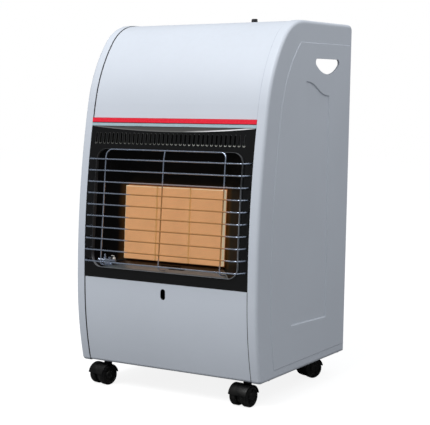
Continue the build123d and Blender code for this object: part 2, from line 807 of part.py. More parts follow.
floor_front = mouth_plane.from_local_coords((0, -mouth_length / 2 + reflector_sheet, 0))
floor_rear = back_plane.from_local_coords((0, -back_height / 2 + reflector_sheet, 0))
floor_run = floor_rear - floor_front
tray_plane = Plane(origin=floor_front, x_dir=(1, 0, 0), z_dir=(0, -floor_run.Z, floor_run.Y)).offset(
    sheet_gap / 2
)
tray_front_half = mouth_width / 2 - mouth_corner
tray_rear_half = back_width / 2 - back_corner
tray_length = floor_run.length - fit_gap

with BuildPart() as reflector_tray:
    with BuildSketch(tray_plane):
        with BuildLine():
            Polyline(
                (-tray_front_half, 0), (tray_front_half, 0), (tray_rear_half, tray_length),
                (-tray_rear_half, tray_length), close=True,
            )
        make_face()
        with Locations((0, tray_length - 2 * tray_slot_width)):
            SlotOverall(tray_slot_length, tray_slot_width, mode=Mode.SUBTRACT)
    extrude(amount=reflector_sheet)
    with BuildSketch(Plane.XY.offset(above(mouth_low) - panel_fold)):
        with Locations(*pilot_spots):
            Circle(ceramic_diameter / 2 + fit_gap)
    extrude(amount=3 * panel_fold, mode=Mode.SUBTRACT)
reflector_tray.part.label = "reflector_tray"
export_step(reflector_tray.part, "parts/reflector_tray.step")

burner_names = ("left", "middle", "right")
burner_xs = [burner_pitch * (index - (burner_count - 1) / 2) for index in range(burner_count)]
train_y = behind(train_depth)
venturi_top = burner_plane.from_local_coords((0, -housing_height / 2, 0)).Z + 2 * housing_wall

for name, burner_x in zip(burner_names, burner_xs):
    with BuildPart() as plaque:
        with BuildSketch(burner_plane):
            with Locations((burner_x, 0)):
                Rectangle(plaque_width, plaque_height)
        extrude(amount=-plaque_thickness)
        fillet(plaque.edges(), radius=housing_wall)
    plaque.part.label = "burner_plaque_" + name
    export_step(plaque.part, "parts/burner_plaque_" + name + ".step")

    with BuildPart() as housing:
        with BuildSketch(burner_plane.offset(-housing_lip)):
            with Locations((burner_x, 0)):
                RectangleRounded(housing_width, housing_height, 2 * housing_wall)
        extrude(amount=-housing_depth)
        with BuildSketch(Plane.XY.offset(above(venturi_mouth))):
            with Locations((burner_x, train_y)):
                Circle(venturi_diameter / 2)
        extrude(until=Until.NEXT)
        with BuildSketch(Plane.XY.offset(above(venturi_mouth))):
            with Locations((burner_x, train_y)):
                Circle(venturi_diameter / 2 + mouth_flare)
        with BuildSketch(Plane.XY.offset(above(venturi_mouth) + 2 * mouth_flare)):
            with Locations((burner_x, train_y)):
                Circle(venturi_diameter / 2)
        loft()
        # the hollow that spreads the gas, with a ledge that the plaque sits on
        with BuildSketch(burner_plane):
            with Locations((burner_x, 0)):
                Rectangle(plaque_width + 2 * fit_gap, plaque_height + 2 * fit_gap)
        extrude(amount=-plaque_thickness, mode=Mode.SUBTRACT)
        with BuildSketch(burner_plane):
            with Locations((burner_x, 0)):
                Rectangle(plaque_width - 6 * housing_wall, plaque_height - 6 * housing_wall)
        extrude(amount=-(housing_lip + housing_depth - housing_wall), mode=Mode.SUBTRACT)
        with BuildSketch(Plane.XY.offset(above(venturi_mouth))):
            with Locations((burner_x, train_y)):
                Circle(venturi_diameter / 2 + mouth_flare - venturi_wall)
        with BuildSketch(Plane.XY.offset(above(venturi_mouth) + 2 * mouth_flare)):
            with Locations((burner_x, train_y)):
                Circle(venturi_diameter / 2 - venturi_wall)
        loft(mode=Mode.SUBTRACT)
        with BuildSketch(Plane.XY.offset(above(venturi_mouth) + mouth_flare)):
            with Locations((burner_x, train_y)):
                Circle(venturi_diameter / 2 - venturi_wall)
        extrude(amount=venturi_top + 5 * housing_wall - above(venturi_mouth) - mouth_flare, mode=Mode.SUBTRACT)
    housing.part.label = "burner_housing_" + name
    export_step(housing.part, "parts/burner_housing_" + name + ".step")

for name, direction in (("top", 1), ("bottom", -1)):
    seat = direction * (housing_height / 2 + sheet_gap / 4)
    with BuildPart() as bracket:
        # one leg lies on the reflector's back plate, the other along the burners
        with BuildSketch(back_plane.offset(-reflector_sheet)):
            with Locations((0, seat + direction * bracket_depth / 2)):
                Rectangle(back_width, bracket_depth)
        extrude(amount=-bracket_sheet)
        with BuildSketch(back_plane.offset(-reflector_sheet)):
            with Locations((0, seat + direction * bracket_sheet / 2)):
                Rectangle(back_width, bracket_sheet)
        extrude(amount=-bracket_depth)
        # gaps for the burners' tubes
        with BuildSketch(Plane.XY.offset(above(venturi_mouth))):
            with Locations(*[(burner_x, train_y) for burner_x in burner_xs]):
                Circle(venturi_diameter / 2 + 2 * fit_gap)
        extrude(amount=above(plaque_middle) - above(venturi_mouth), mode=Mode.SUBTRACT)
    bracket.part.label = "burner_bracket_" + name
    export_step(bracket.part, "parts/burner_bracket_" + name + ".step")


# ---------------------------------------------------------------- guard
def guard_y(height):
    """Y of the guard's horizontal wires at a height above the cabinet's underside."""
    lowest = behind(wire_diameter / 2 - guard_stand_off)
    return lowest + (height - guard_low) * tan(radians(guard_lean))


def bent_rod(points, diameter, bend, bore=0.0):
    """A round rod or tube of straight runs joined by arcs of one radius."""
    with BuildPart() as rod:
        with BuildLine() as path:
            FilletPolyline(*points, radius=bend)
        with BuildSketch(Plane(origin=path.wire() @ 0, z_dir=path.wire() % 0)):
            Circle(diameter / 2)
            if bore:
                Circle(bore / 2, mode=Mode.SUBTRACT)
        sweep()
    return rod.part


post_set = wire_diameter - weld_sink
hook_height = guard_low - 2 * wire_diameter
hook_front = guard_y(hook_height) + post_set
hook_depth = behind(mouth_inset + 2 * wire_diameter)
hook_rise = (hook_depth - floor_front.Y) / floor_run.Y * floor_run.Z
hook_end = (hook_depth, floor_front.Z + hook_rise + reflector_sheet + wire_diameter / 2 + 2 * fit_gap)
bend_y = guard_y(guard_bend_height) + post_set
top_y = bend_y + guard_set_back

with BuildPart() as wire_guard:
    for index in range(guard_count):
        height = guard_low + index * guard_pitch
        wire_y = guard_y(height)
        add(bent_rod(
            [
                (-guard_half_width, wire_y + guard_end_depth, above(height)),
                (-guard_end_bend, wire_y, above(height)),
                (guard_end_bend, wire_y, above(height)),
                (guard_half_width, wire_y + guard_end_depth, above(height)),
            ],
            wire_diameter, wire_bend,
        ))
    add(bent_rod(
        [
            (-guard_post, *hook_end),
            (-guard_post, hook_front, above(hook_height)),
            (-guard_post, bend_y, above(guard_bend_height)),
            (-guard_post, top_y, above(guard_bend_height + guard_top_rise)),
            (guard_post, top_y, above(guard_bend_height + guard_top_rise)),
            (guard_post, bend_y, above(guard_bend_height)),
            (guard_post, hook_front, above(hook_height)),
            (guard_post, *hook_end),
        ],
        wire_diameter, [wire_bend, wire_bend, guard_corner, guard_corner, wire_bend, wire_bend],
    ))
    add(bent_rod(
        [
            (0, *hook_end),
            (0, hook_front, above(hook_height)),
            (0, bend_y, above(guard_bend_height)),
            (0, top_y, above(guard_bend_height + guard_top_rise)),
        ],
        wire_diameter, wire_bend,
    ))
wire_guard.part.label = "wire_guard"
export_step(wire_guard.part, "parts/wire_guard.step")

# ---------------------------------------------------------------- gas train
rail_top = above(rail_height)
injector_low = rail_top - rail_sheet - hex_height

with BuildPart() as injector_rail:
    rail_front = train_y - injector_hex
    with BuildSketch(Plane.XY.offset(rail_top - rail_sheet)):
        with Locations((0, (rail_front + shield_front) / 2)):
            Rectangle(burner_span, shield_front - rail_front)
        with Locations(*[(burner_x, train_y) for burner_x in burner_xs]):
            Circle(injector_hex / 3 + running_gap, mode=Mode.SUBTRACT)
    extrude(amount=rail_sheet)
    with BuildSketch(Plane.XZ.offset(-shield_front + rail_sheet)):
        with Locations((0, rail_top - panel_fold / 2)):
            Rectangle(burner_span, panel_fold)
    extrude(amount=-rail_sheet)
injector_rail.part.label = "injector_rail"
export_step(injector_rail.part, "parts/injector_rail.step")

for name, burner_x in zip(burner_names, burner_xs):
    with BuildPart() as injector:
        with BuildSketch(Plane.XY.offset(injector_low)):
            with Locations((burner_x, train_y)):
                RegularPolygon(injector_hex / 2, 6, major_radius=False)
        extrude(amount=hex_height)
        with BuildSketch(Plane.XY.offset(injector_low + hex_height)):
            with Locations((burner_x, train_y)):
                Circle(injector_hex / 3)
        extrude(amount=above(injector_top) - injector_low - hex_height)
        chamfer(injector.edges().sort_by(Axis.Z)[-1], length=1.5)
        with BuildSketch(Plane.XY.offset(injector_low)):
            with Locations((burner_x, train_y)):
                Circle(pipe_diameter / 4)
        extrude(amount=injector_length, mode=Mode.SUBTRACT)
    injector.part.label = "injector_" + name
    export_step(injector.part, "parts/injector_" + name + ".step")

well_underside = well_z - panel_sheet
valve_top = well_underside - valve_drop
valve_low = valve_top - valve_height
valve_front = knob_y - valve_length / 2
valve_left = knob_x - valve_width / 2
outlet_z = (valve_top + valve_low) / 2
pipe_turns = [
    (
        name,
        knob_x + outlet_spread * (index - (len(pipe_names) - 1) / 2),
        valve_front - 1.5 * pipe_bend - pipe_pitch * (len(pipe_names) - 1 - index),
        pipe_column + pipe_pitch * index,
        above(pipe_shelf) - pipe_pitch * index,
    )
    for index, name in enumerate(pipe_names)
]
pipe_ends = [(burner_x, train_y, injector_low) for burner_x in reversed(burner_xs)]

for (name, outlet_x, turn_y, column_x, shelf_z), (end_x, end_y, end_z) in zip(pipe_turns, pipe_ends):
    with BuildPart() as burner_pipe:
        add(bent_rod(
            [
                (outlet_x, valve_front, outlet_z),
                (outlet_x, turn_y, outlet_z),
                (column_x, turn_y, outlet_z),
                (column_x, turn_y, above(pipe_pass)),
                (column_x, train_y, above(pipe_pass)),
                (column_x, train_y, shelf_z),
                (end_x, train_y, shelf_z),
                (end_x, end_y, end_z),
            ],
            pipe_diameter, pipe_bend, pipe_diameter / 2,
        ))
    burner_pipe.part.label = name
    export_step(burner_pipe.part, "parts/" + name + ".step")

pilot_foot = above(pilot_height - 4 * ceramic_diameter)
name, outlet_x, turn_y, column_x, shelf_z = pipe_turns[-1]
with BuildPart() as pilot_pipe:
    add(bent_rod(
        [
            (outlet_x, valve_front, outlet_z),
            (outlet_x, turn_y, outlet_z),
            (column_x, turn_y, outlet_z),
            (column_x, turn_y, above(pipe_pass)),
            (column_x, train_y, above(pipe_pass)),
            (column_x, train_y, shelf_z),
            (pilot_x, train_y, shelf_z),
            (pilot_x, pilot_y, shelf_z),
            (pilot_x, pilot_y, pilot_foot),
        ],
        pilot_pipe_diameter, pipe_bend, pilot_pipe_diameter / 2,
    ))
pilot_pipe.part.label = "pilot_pipe"
export_step(pilot_pipe.part, "parts/pilot_pipe.step")

pilot_tip = above(pilot_height + ceramic_diameter)
leg_rear_y = pilot_y - pilot_plate_width / 2 + reflector_sheet
leg_run = (leg_rear_y - floor_front.Y) / floor_run.Y * floor_run.length
leg_foot = tray_plane.from_local_coords((0, leg_run, reflector_sheet)).Z + fit_gap
shelf_top = above(pilot_height)

with BuildPart() as pilot_burner:
    with BuildSketch(Plane.XY.offset(pilot_foot)):
        with Locations((pilot_x, pilot_y)):
            Circle(ceramic_diameter / 2)
    extrude(amount=pilot_tip - pilot_foot)
    # the plate that holds the probe and the electrode beside it
    with BuildSketch(Plane.XY.offset(shelf_top - reflector_sheet)):
        with Locations((pilot_x, pilot_y)):
            SlotOverall(2 * electrode_spread + pilot_plate_width, pilot_plate_width)
    extrude(amount=reflector_sheet)
    # the plate's leg that stands on the tray
    with BuildSketch(Plane.XY.offset(leg_foot)):
        with Locations((pilot_x, leg_rear_y - reflector_sheet / 2)):
            Rectangle(2 * electrode_spread - ceramic_diameter, reflector_sheet)
    extrude(amount=shelf_top - leg_foot)
    with BuildSketch(Plane.XY.offset(pilot_foot)):
        with Locations(pilot_spots[0], pilot_spots[2]):
            Circle(ceramic_diameter / 2 + running_gap)
    extrude(amount=pilot_tip - pilot_foot, mode=Mode.SUBTRACT)
    # a nozzle that points the pilot flame at the burners
    with BuildSketch(Plane.XZ.offset(-pilot_y)):
        with Locations((pilot_x, pilot_tip - ceramic_diameter / 2)):
            Circle(ceramic_diameter / 3)
    extrude(amount=-ceramic_diameter * 0.9)
    with BuildSketch(Plane.XZ.offset(-pilot_y)):
        with Locations((pilot_x, pilot_tip - ceramic_diameter / 2)):
            Circle(ceramic_diameter / 6)
    extrude(amount=-ceramic_diameter, mode=Mode.SUBTRACT)
pilot_burner.part.label = "pilot_burner"
export_step(pilot_burner.part, "parts/pilot_burner.step")

lead_z = pilot_foot - 2 * lead_bend


def lead(spot, valve_y):
    """A lead from under the pilot, up behind the reflector box and through the shield."""
    spot_x, spot_y = spot
    return bent_rod(
        [
            (spot_x, spot_y, pilot_foot),
            (spot_x, spot_y, lead_z),
            (spot_x, train_y, lead_z),
            (spot_x, train_y, above(pipe_pass)),
            (spot_x, valve_y, above(pipe_pass)),
            (spot_x, valve_y, outlet_z),
            (valve_left, valve_y, outlet_z),
        ],
        lead_diameter, lead_bend,
    )


with BuildPart() as thermocouple:
    with BuildSketch(Plane.XY.offset(pilot_foot)):
        with Locations(pilot_spots[0]):
            Circle(ceramic_diameter / 2)
    extrude(amount=pilot_tip - pilot_foot)
    with BuildSketch(Plane.XY.offset(pilot_tip)):
        with Locations(pilot_spots[0]):
            Circle(ceramic_diameter / 4)
    extrude(amount=ceramic_diameter)
    fillet(thermocouple.edges().sort_by(Axis.Z)[-1], radius=ceramic_diameter / 8)
thermocouple.part.label = "thermocouple"
export_step(thermocouple.part, "parts/thermocouple.step")

with BuildPart() as spark_electrode:
    with BuildSketch(Plane.XY.offset(pilot_foot)):
        with Locations(pilot_spots[2]):
            Circle(ceramic_diameter / 2)
    extrude(amount=pilot_tip - pilot_foot)
    chamfer(spark_electrode.edges().sort_by(Axis.Z)[-1], length=ceramic_diameter / 8)
    add(bent_rod(
        [
            (*pilot_spots[2], pilot_tip - 1),
            (*pilot_spots[2], pilot_tip + ceramic_diameter / 2),
            (pilot_x + ceramic_diameter / 2, pilot_y + ceramic_diameter / 3, pilot_tip + ceramic_diameter / 2),
        ],
        1.4, 1.0,
    ))
spark_electrode.part.label = "spark_electrode"
export_step(spark_electrode.part, "parts/spark_electrode.step")

for label, spot, valve_y in (
    ("thermocouple_lead", pilot_spots[0], knob_y + outlet_spread),
    ("ignition_lead", pilot_spots[2], knob_y - outlet_spread),
):
    with BuildPart() as lead_part:
        add(lead(spot, valve_y))
    lead_part.part.label = label
    export_step(lead_part.part, "parts/" + label + ".step")

# ---------------------------------------------------------------- gas valve and control knob
knob_spot = (knob_x, knob_y)
spring_radius = (plunger_collar - spring_wire) / 2
spindle_bore_low = valve_top - spindle_depth - knob_travel - running_gap * 10
plunger_top = valve_top - spindle_depth - running_gap * 2
spring_bore_top = spindle_bore_low - guide_length
collar_top = spring_bore_top - running_gap * 4
spring_top = collar_top - collar_height
spring_bore_low = valve_low + 3.0

with BuildPart() as valve_body:
    with BuildSketch(Plane.XY.offset(valve_low)):
        with Locations(knob_spot):
            RectangleRounded(valve_width, valve_length, 4)
    extrude(amount=valve_height)
    chamfer(valve_body.faces().sort_by(Axis.Z)[0].edges(), length=1.5)
    # the bonnet that reaches up to the bracket
    with BuildSketch(Plane.XY.offset(valve_top)):
        with Locations(knob_spot):
            Circle(bonnet_diameter / 2)
    extrude(amount=valve_drop - valve_bracket_sheet)
    with BuildSketch(Plane.XY.offset(spindle_bore_low)):
        with Locations(knob_spot):
            Circle(spindle_diameter / 2 + running_gap)
    extrude(amount=valve_drop + valve_height, mode=Mode.SUBTRACT)
    with BuildSketch(Plane.XY.offset(spring_bore_low)):
        with Locations(knob_spot):
            Circle(plunger_diameter / 2 + running_gap)
    extrude(amount=valve_height / 2, mode=Mode.SUBTRACT)
    with BuildSketch(Plane.XY.offset(spring_bore_low)):
        with Locations(knob_spot):
            Circle(spring_bore / 2)
    extrude(amount=spring_bore_top - spring_bore_low, mode=Mode.SUBTRACT)
valve_body.part.label = "valve_body"
export_step(valve_body.part, "parts/valve_body.step")

with BuildPart() as valve_bracket:
    with BuildSketch(Plane.XY.offset(well_underside - valve_bracket_sheet)):
        with Locations(knob_spot):
            RectangleRounded(bracket_plate_length, bracket_plate_width, 4)
            Circle(spindle_diameter / 2 + spindle_clearance, mode=Mode.SUBTRACT)
            with GridLocations(2 * bracket_screw_reach, 0, 2, 1):
                Circle(screw_hole / 2, mode=Mode.SUBTRACT)
    extrude(amount=valve_bracket_sheet)
valve_bracket.part.label = "valve_bracket"
export_step(valve_bracket.part, "parts/valve_bracket.step")

with BuildPart() as valve_plunger:
    with BuildSketch(Plane.XY.offset(spring_top)):
        with Locations(knob_spot):
            Circle(plunger_collar / 2)
    extrude(amount=collar_height)
    with BuildSketch(Plane.XY.offset(spring_top)):
        with Locations(knob_spot):
            Circle(plunger_diameter / 2)
    extrude(amount=plunger_top - spring_top)
valve_plunger.part.label = "valve_plunger"
export_step(valve_plunger.part, "parts/valve_plunger.step")

spring_low = spring_bore_low + spring_wire / 2
spring_high = spring_top - spring_wire / 2
with BuildPart() as knob_return_spring:
    with BuildLine(Plane((knob_x, knob_y, spring_low))) as coil:
        Helix(
            pitch=(spring_high - spring_low) / spring_turns,
            height=spring_high - spring_low, radius=spring_radius,
        )
    with BuildSketch(Plane(origin=coil.wire() @ 0, z_dir=coil.wire() % 0)):
        Circle(spring_wire / 2)
    sweep(is_frenet=True)
knob_return_spring.part.label = "knob_return_spring"
export_step(knob_return_spring.part, "parts/knob_return_spring.step")

dial_z = well_z
skirt_z = dial_z + dial_thickness + knob_travel + fit_gap
knob_high = top_z + knob_top
knob_bore_top = skirt_z + skirt_height

with BuildPart() as knob_spindle:
    with BuildSketch(Plane.XY.offset(valve_top - spindle_depth)):
        with Locations(knob_spot):
            Circle(spindle_diameter / 2)
    extrude(amount=knob_bore_top - valve_top + spindle_depth)
knob_spindle.part.label = "knob_spindle"
export_step(knob_spindle.part, "parts/knob_spindle.step")

with BuildPart() as control_knob:
    with BuildSketch(Plane.XY.offset(skirt_z)):
        with Locations(knob_spot):
            Circle(skirt_diameter / 2)
    extrude(amount=skirt_height)
    fillet(control_knob.edges().filter_by(GeomType.CIRCLE).sort_by(Axis.Z)[-1], radius=skirt_height / 3)
    with BuildSketch(Plane.XY.offset(skirt_z + skirt_height / 2)):
        with Locations(knob_spot):
            SlotOverall(skirt_diameter - 4, grip_width, rotation=90 + grip_turn)
    extrude(amount=knob_high - skirt_z - skirt_height / 2, taper=3)
    fillet(control_knob.faces().sort_by(Axis.Z)[-1].edges(), radius=1.2)
    with BuildSketch(Plane.XY.offset(skirt_z)):
        with Locations(knob_spot):
            Circle(spindle_diameter / 2)
    extrude(amount=knob_bore_top - skirt_z, mode=Mode.SUBTRACT)
control_knob.part.label = "control_knob"
export_step(control_knob.part, "parts/control_knob.step")

with BuildPart() as dial_plate:
    with BuildSketch(Plane.XY.offset(dial_z)):
        with Locations(knob_spot):
            Circle(dial_diameter / 2)
            Circle(spindle_diameter / 2 + spindle_clearance, mode=Mode.SUBTRACT)
    extrude(amount=dial_thickness)
dial_plate.part.label = "dial_plate"
export_step(dial_plate.part, "parts/dial_plate.step")

nozzle_y = knob_y + valve_length / 2
nozzle_collar = nozzle_length / 4
with BuildPart() as hose_nozzle:
    with BuildSketch(Plane.XZ.offset(-nozzle_y)):
        with Locations((knob_x, outlet_z)):
            RegularPolygon(0.8 * nozzle_diameter, 6, major_radius=False)
    extrude(amount=-nozzle_collar)
    with BuildSketch(Plane.XZ.offset(-nozzle_y)):
        with Locations((knob_x, outlet_z)):
            Circle(nozzle_diameter / 2)
    extrude(amount=-nozzle_collar - nozzle_length)
    chamfer(hose_nozzle.edges().filter_by(GeomType.CIRCLE).sort_by(Axis.Y)[-1], length=0.8)
    with BuildSketch(Plane.XZ.offset(-nozzle_y)):
        with Locations((knob_x, outlet_z)):
            Circle(nozzle_bore / 2)
    extrude(amount=-nozzle_collar - nozzle_length, mode=Mode.SUBTRACT)
hose_nozzle.part.label = "hose_nozzle"
export_step(hose_nozzle.part, "parts/hose_nozzle.step")

# ---------------------------------------------------------------- rear cover
cover_middle = cover_foot + cover_height / 2
bulge_width = 2 * (cover_half_width - cover_margin)
bulge_length = cover_height - 2 * cover_margin
bulge_taper = degrees(atan2(cover_slope, cover_bulge))
bulge_depth = cover_bulge - fit_gap

with BuildPart() as rear_cover:
    with BuildSketch(cover_plane):
        with Locations((0, cover_middle)):
            RectangleRounded(2 * cover_half_width, cover_height, edge_radius)
    extrude(amount=-cover_sheet)
    with BuildSketch(cover_plane):
        with Locations((0, cover_middle)):
            RectangleRounded(bulge_width, bulge_length, cover_margin)
    extrude(amount=-bulge_depth, taper=bulge_taper)
    with BuildSketch(cover_plane):
        with Locations((0, cover_middle)):
            RectangleRounded(
                bulge_width - 2 * cover_sheet, bulge_length - 2 * cover_sheet, cover_margin - cover_sheet
            )
    extrude(amount=-bulge_depth + cover_sheet, taper=bulge_taper, mode=Mode.SUBTRACT)
    # vents low and high, and a slot for the fingers
    with BuildSketch(cover_plane):
        for rise in (-bulge_length / 2 + 3 * cover_margin, bulge_length / 2 - 5 * cover_margin):
            with Locations((0, cover_middle + rise)):
                with GridLocations(cover_bulge, 0, 9, 1):
                    SlotOverall(2 * cover_margin, cover_margin / 4, rotation=90)
        with Locations((0, cover_middle + bulge_length / 2 - 2 * cover_margin)):
            SlotOverall(grip_slot_length, grip_slot_width)
    extrude(amount=-2 * cover_bulge, mode=Mode.SUBTRACT)
    # pegs that plug into the side panels
    with BuildSketch(cover_plane):
        with Locations(*peg_places):
            Circle(peg_diameter / 2)
    extrude(amount=peg_length)
rear_cover.part.label = "rear_cover"
export_step(rear_cover.part, "parts/rear_cover.step")


# ---------------------------------------------------------------- castors
wheel_radius = wheel_diameter / 2
wheel_inner = web_thickness / 2 + wheel_gap
castor_half = wheel_inner + wheel_width
axle_half = wheel_inner + bearing_depth - wheel_gap
socket_low = base_low - socket_sheet
boss_top = socket_low - fit_gap
hood_radius = wheel_radius + hood_gap + hood_wall


def place_castor(piece, x, y, turn):
    """Turn a castor's piece about its stem and set it under the base."""
    return piece.rotate(Axis.Z, turn).translate((x, y, 0))


def hood_outline():
    """Draw the hood's round side, cut off below at its foot."""
    with BuildSketch() as sketch:
        with Locations((-castor_trail, wheel_radius)):
            Circle(hood_radius)
        with Locations((-castor_trail, hood_foot - hood_radius)):
            Rectangle(2 * hood_radius, 2 * hood_radius, mode=Mode.SUBTRACT)
    return sketch.sketch


with BuildPart() as hood_shape:
    with BuildSketch(Plane.YZ.offset(-castor_half)):
        add(hood_outline())
    extrude(amount=2 * castor_half)
    with BuildSketch(Plane.XY.offset(wheel_radius)):
        Circle(boss_diameter / 2)
    extrude(amount=boss_top - wheel_radius)
    # room for the two wheels
    with BuildSketch(Plane.YZ):
        with Locations((-castor_trail, wheel_radius)):
            Circle(wheel_radius + hood_gap)
    extrude(amount=2 * castor_half, both=True, mode=Mode.SUBTRACT)
    # the web between them, and the bearing for the axle
    with BuildSketch(Plane.YZ.offset(-web_thickness / 2)):
        add(hood_outline())
        with Locations((-castor_trail, wheel_radius)):
            Circle(web_radius)
    extrude(amount=web_thickness)
    with BuildSketch(Plane.YZ):
        with Locations((-castor_trail, wheel_radius)):
            Circle(axle_diameter / 2)
    extrude(amount=web_thickness, both=True, mode=Mode.SUBTRACT)
    # the stem that turns in the socket
    with BuildSketch(Plane.XY.offset(boss_top)):
        Circle(stem_diameter / 2)
    extrude(amount=stem_length)
    chamfer(hood_shape.edges().sort_by(Axis.Z)[-1], length=1)

with BuildPart() as axle_shape:
    with BuildSketch(Plane.YZ.offset(-axle_half)):
        with Locations((-castor_trail, wheel_radius)):
            Circle(axle_diameter / 2)
    extrude(amount=2 * axle_half)

with BuildPart() as wheel_shape:
    with BuildSketch(Plane.YZ.offset(wheel_inner)):
        with Locations((-castor_trail, wheel_radius)):
            Circle(wheel_radius)
    extrude(amount=wheel_width)
    fillet(wheel_shape.edges().filter_by(GeomType.CIRCLE), radius=2.5)
    # a shallow dish in the outer face
    with BuildSketch(Plane.YZ.offset(castor_half)):
        with Locations((-castor_trail, wheel_radius)):
            Circle(wheel_radius - 3 * hood_wall)
    extrude(amount=-hood_gap, taper=30, mode=Mode.SUBTRACT)
    with BuildSketch(Plane.YZ.offset(castor_half - 2 * hood_gap)):
        with Locations((-castor_trail, wheel_radius)):
            Circle(axle_diameter)
    extrude(amount=2 * hood_gap)
    with BuildSketch(Plane.YZ.offset(wheel_inner)):
        with Locations((-castor_trail, wheel_radius)):
            Circle(axle_diameter / 2 + running_gap)
    extrude(amount=bearing_depth, mode=Mode.SUBTRACT)

for name, castor_at_x, castor_at_y, turn in castor_places:
    with BuildPart() as castor_hood:
        add(place_castor(hood_shape.part, castor_at_x, castor_at_y, turn))
    castor_hood.part.label = name + "_castor_hood"
    export_step(castor_hood.part, "parts/" + name + "_castor_hood.step")

    with BuildPart() as castor_axle:
        add(place_castor(axle_shape.part, castor_at_x, castor_at_y, turn))
    castor_axle.part.label = name + "_castor_axle"
    export_step(castor_axle.part, "parts/" + name + "_castor_axle.step")

    for side, wheel_side in (("right", wheel_shape.part), ("left", mirror(wheel_shape.part, about=Plane.YZ))):
        with BuildPart() as castor_wheel:
            add(place_castor(wheel_side, castor_at_x, castor_at_y, turn))
        castor_wheel.part.label = name + "_castor_" + side + "_wheel"
        export_step(castor_wheel.part, "parts/" + castor_wheel.part.label + ".step")

stem_places = [(x, y) for name, x, y, turn in castor_places]
socket_bore_top = boss_top + stem_length + stem_top_gap
with BuildPart() as castor_sockets:
    with BuildSketch(Plane.XY.offset(socket_low)):
        with Locations(*stem_places):
            Circle(socket_flange / 2)
    extrude(amount=socket_sheet)
    with BuildSketch(Plane.XY.offset(base_low)):
        with Locations(*stem_places):
            Circle(socket_diameter / 2)
    extrude(amount=socket_bore_top + socket_sheet - base_low)
    with BuildSketch(Plane.XY.offset(socket_low)):
        with Locations(*stem_places):
            Circle(stem_diameter / 2 + running_gap)
    extrude(amount=socket_bore_top - socket_low, mode=Mode.SUBTRACT)
castor_sockets.part.label = "castor_sockets"
export_step(castor_sockets.part, "parts/castor_sockets.step")

# ---------------------------------------------------------------- screws
screw_shank = screw_hole / 2 - running_gap
bracket_low = well_underside - valve_bracket_sheet
bracket_screw_places = [(knob_x - bracket_screw_reach, knob_y), (knob_x + bracket_screw_reach, knob_y)]

with BuildPart() as screws:
    for places, seat_z, tip_z in (
        (foot_screw_places, stand_off, base_top + panel_fold / 4),
        (bracket_screw_places, bracket_low, well_z),
    ):
        with BuildSketch(Plane.XY.offset(seat_z - screw_head_height)):
            with Locations(*places):
                Circle(screw_head / 2)
        extrude(amount=screw_head_height)
        with BuildSketch(Plane.XY.offset(seat_z)):
            with Locations(*places):
                Circle(screw_shank)
        extrude(amount=tip_z - seat_z)
    with BuildSketch(rear_plane):
        with Locations(*top_screw_places):
            Circle(screw_head / 2)
    extrude(amount=-screw_head_height)
    with BuildSketch(rear_plane):
        with Locations(*top_screw_places):
            Circle(screw_shank)
    extrude(amount=panel_fold / 2)
screws.part.label = "screws"
export_step(screws.part, "parts/screws.step")
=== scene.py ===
"""Looks of a portable gas cabinet heater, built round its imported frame.

The origin is on the floor under the middle of the heater, its burner mouth faces -Y, and +Z is up.
Sizes in the finishes and the studio are in metres, and those of the sub-assemblies in millimetres.
"""

from __future__ import annotations

import json
import logging
import math
from collections.abc import Callable, Iterable, Iterator
from contextlib import contextmanager
from dataclasses import dataclass, replace
from enum import Enum

import bmesh
import bpy
from mathutils import Matrix, Vector


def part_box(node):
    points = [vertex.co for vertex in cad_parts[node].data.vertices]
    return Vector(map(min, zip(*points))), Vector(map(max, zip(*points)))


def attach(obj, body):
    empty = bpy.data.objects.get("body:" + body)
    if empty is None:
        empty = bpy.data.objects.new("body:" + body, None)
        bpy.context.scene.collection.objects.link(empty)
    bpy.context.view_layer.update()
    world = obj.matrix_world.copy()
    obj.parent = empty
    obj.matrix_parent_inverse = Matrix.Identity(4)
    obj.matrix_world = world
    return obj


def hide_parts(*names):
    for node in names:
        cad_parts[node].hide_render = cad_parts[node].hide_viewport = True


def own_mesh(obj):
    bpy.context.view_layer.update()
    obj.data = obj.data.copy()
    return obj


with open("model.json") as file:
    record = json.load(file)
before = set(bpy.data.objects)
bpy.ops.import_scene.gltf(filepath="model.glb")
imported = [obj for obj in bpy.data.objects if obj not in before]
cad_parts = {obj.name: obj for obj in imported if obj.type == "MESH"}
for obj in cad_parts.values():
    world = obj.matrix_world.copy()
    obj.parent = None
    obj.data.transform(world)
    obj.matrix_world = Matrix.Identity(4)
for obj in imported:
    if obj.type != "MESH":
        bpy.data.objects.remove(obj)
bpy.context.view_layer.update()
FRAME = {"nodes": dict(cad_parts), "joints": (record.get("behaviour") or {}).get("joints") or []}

log = logging.getLogger("heater")

Colour = tuple[float, float, float]
Triple = tuple[float, float, float]
Profile = list[tuple[float, float]]
Object = bpy.types.Object
Socket = bpy.types.NodeSocket

MM = 0.001
FRONT_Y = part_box("right_side_panel")[0][1]


def srgb(red: int, green: int, blue: int) -> Colour:
    """Turn a screen's colour into linear light.

    Args:
        red: The red channel, 0 to 255.
        green: The green channel, 0 to 255.
        blue: The blue channel, 0 to 255.

    Returns:
        The same colour in linear light, each channel 0 to 1.
    """

    def linear(value: int) -> float:
        """Linear light of one channel."""
        share = value / 255
        return share / 12.92 if share <= 0.04045 else ((share + 0.055) / 1.055) ** 2.4

    return linear(red), linear(green), linear(blue)


def shade(colour: Colour, factor: float) -> Colour:
    """A lighter or darker version of a colour."""
    return tuple(min(1.0, channel * factor) for channel in colour)


# Shader nets
class Axis(Enum):
    """The parts of a vector."""

    X = "X"
    Y = "Y"
    Z = "Z"


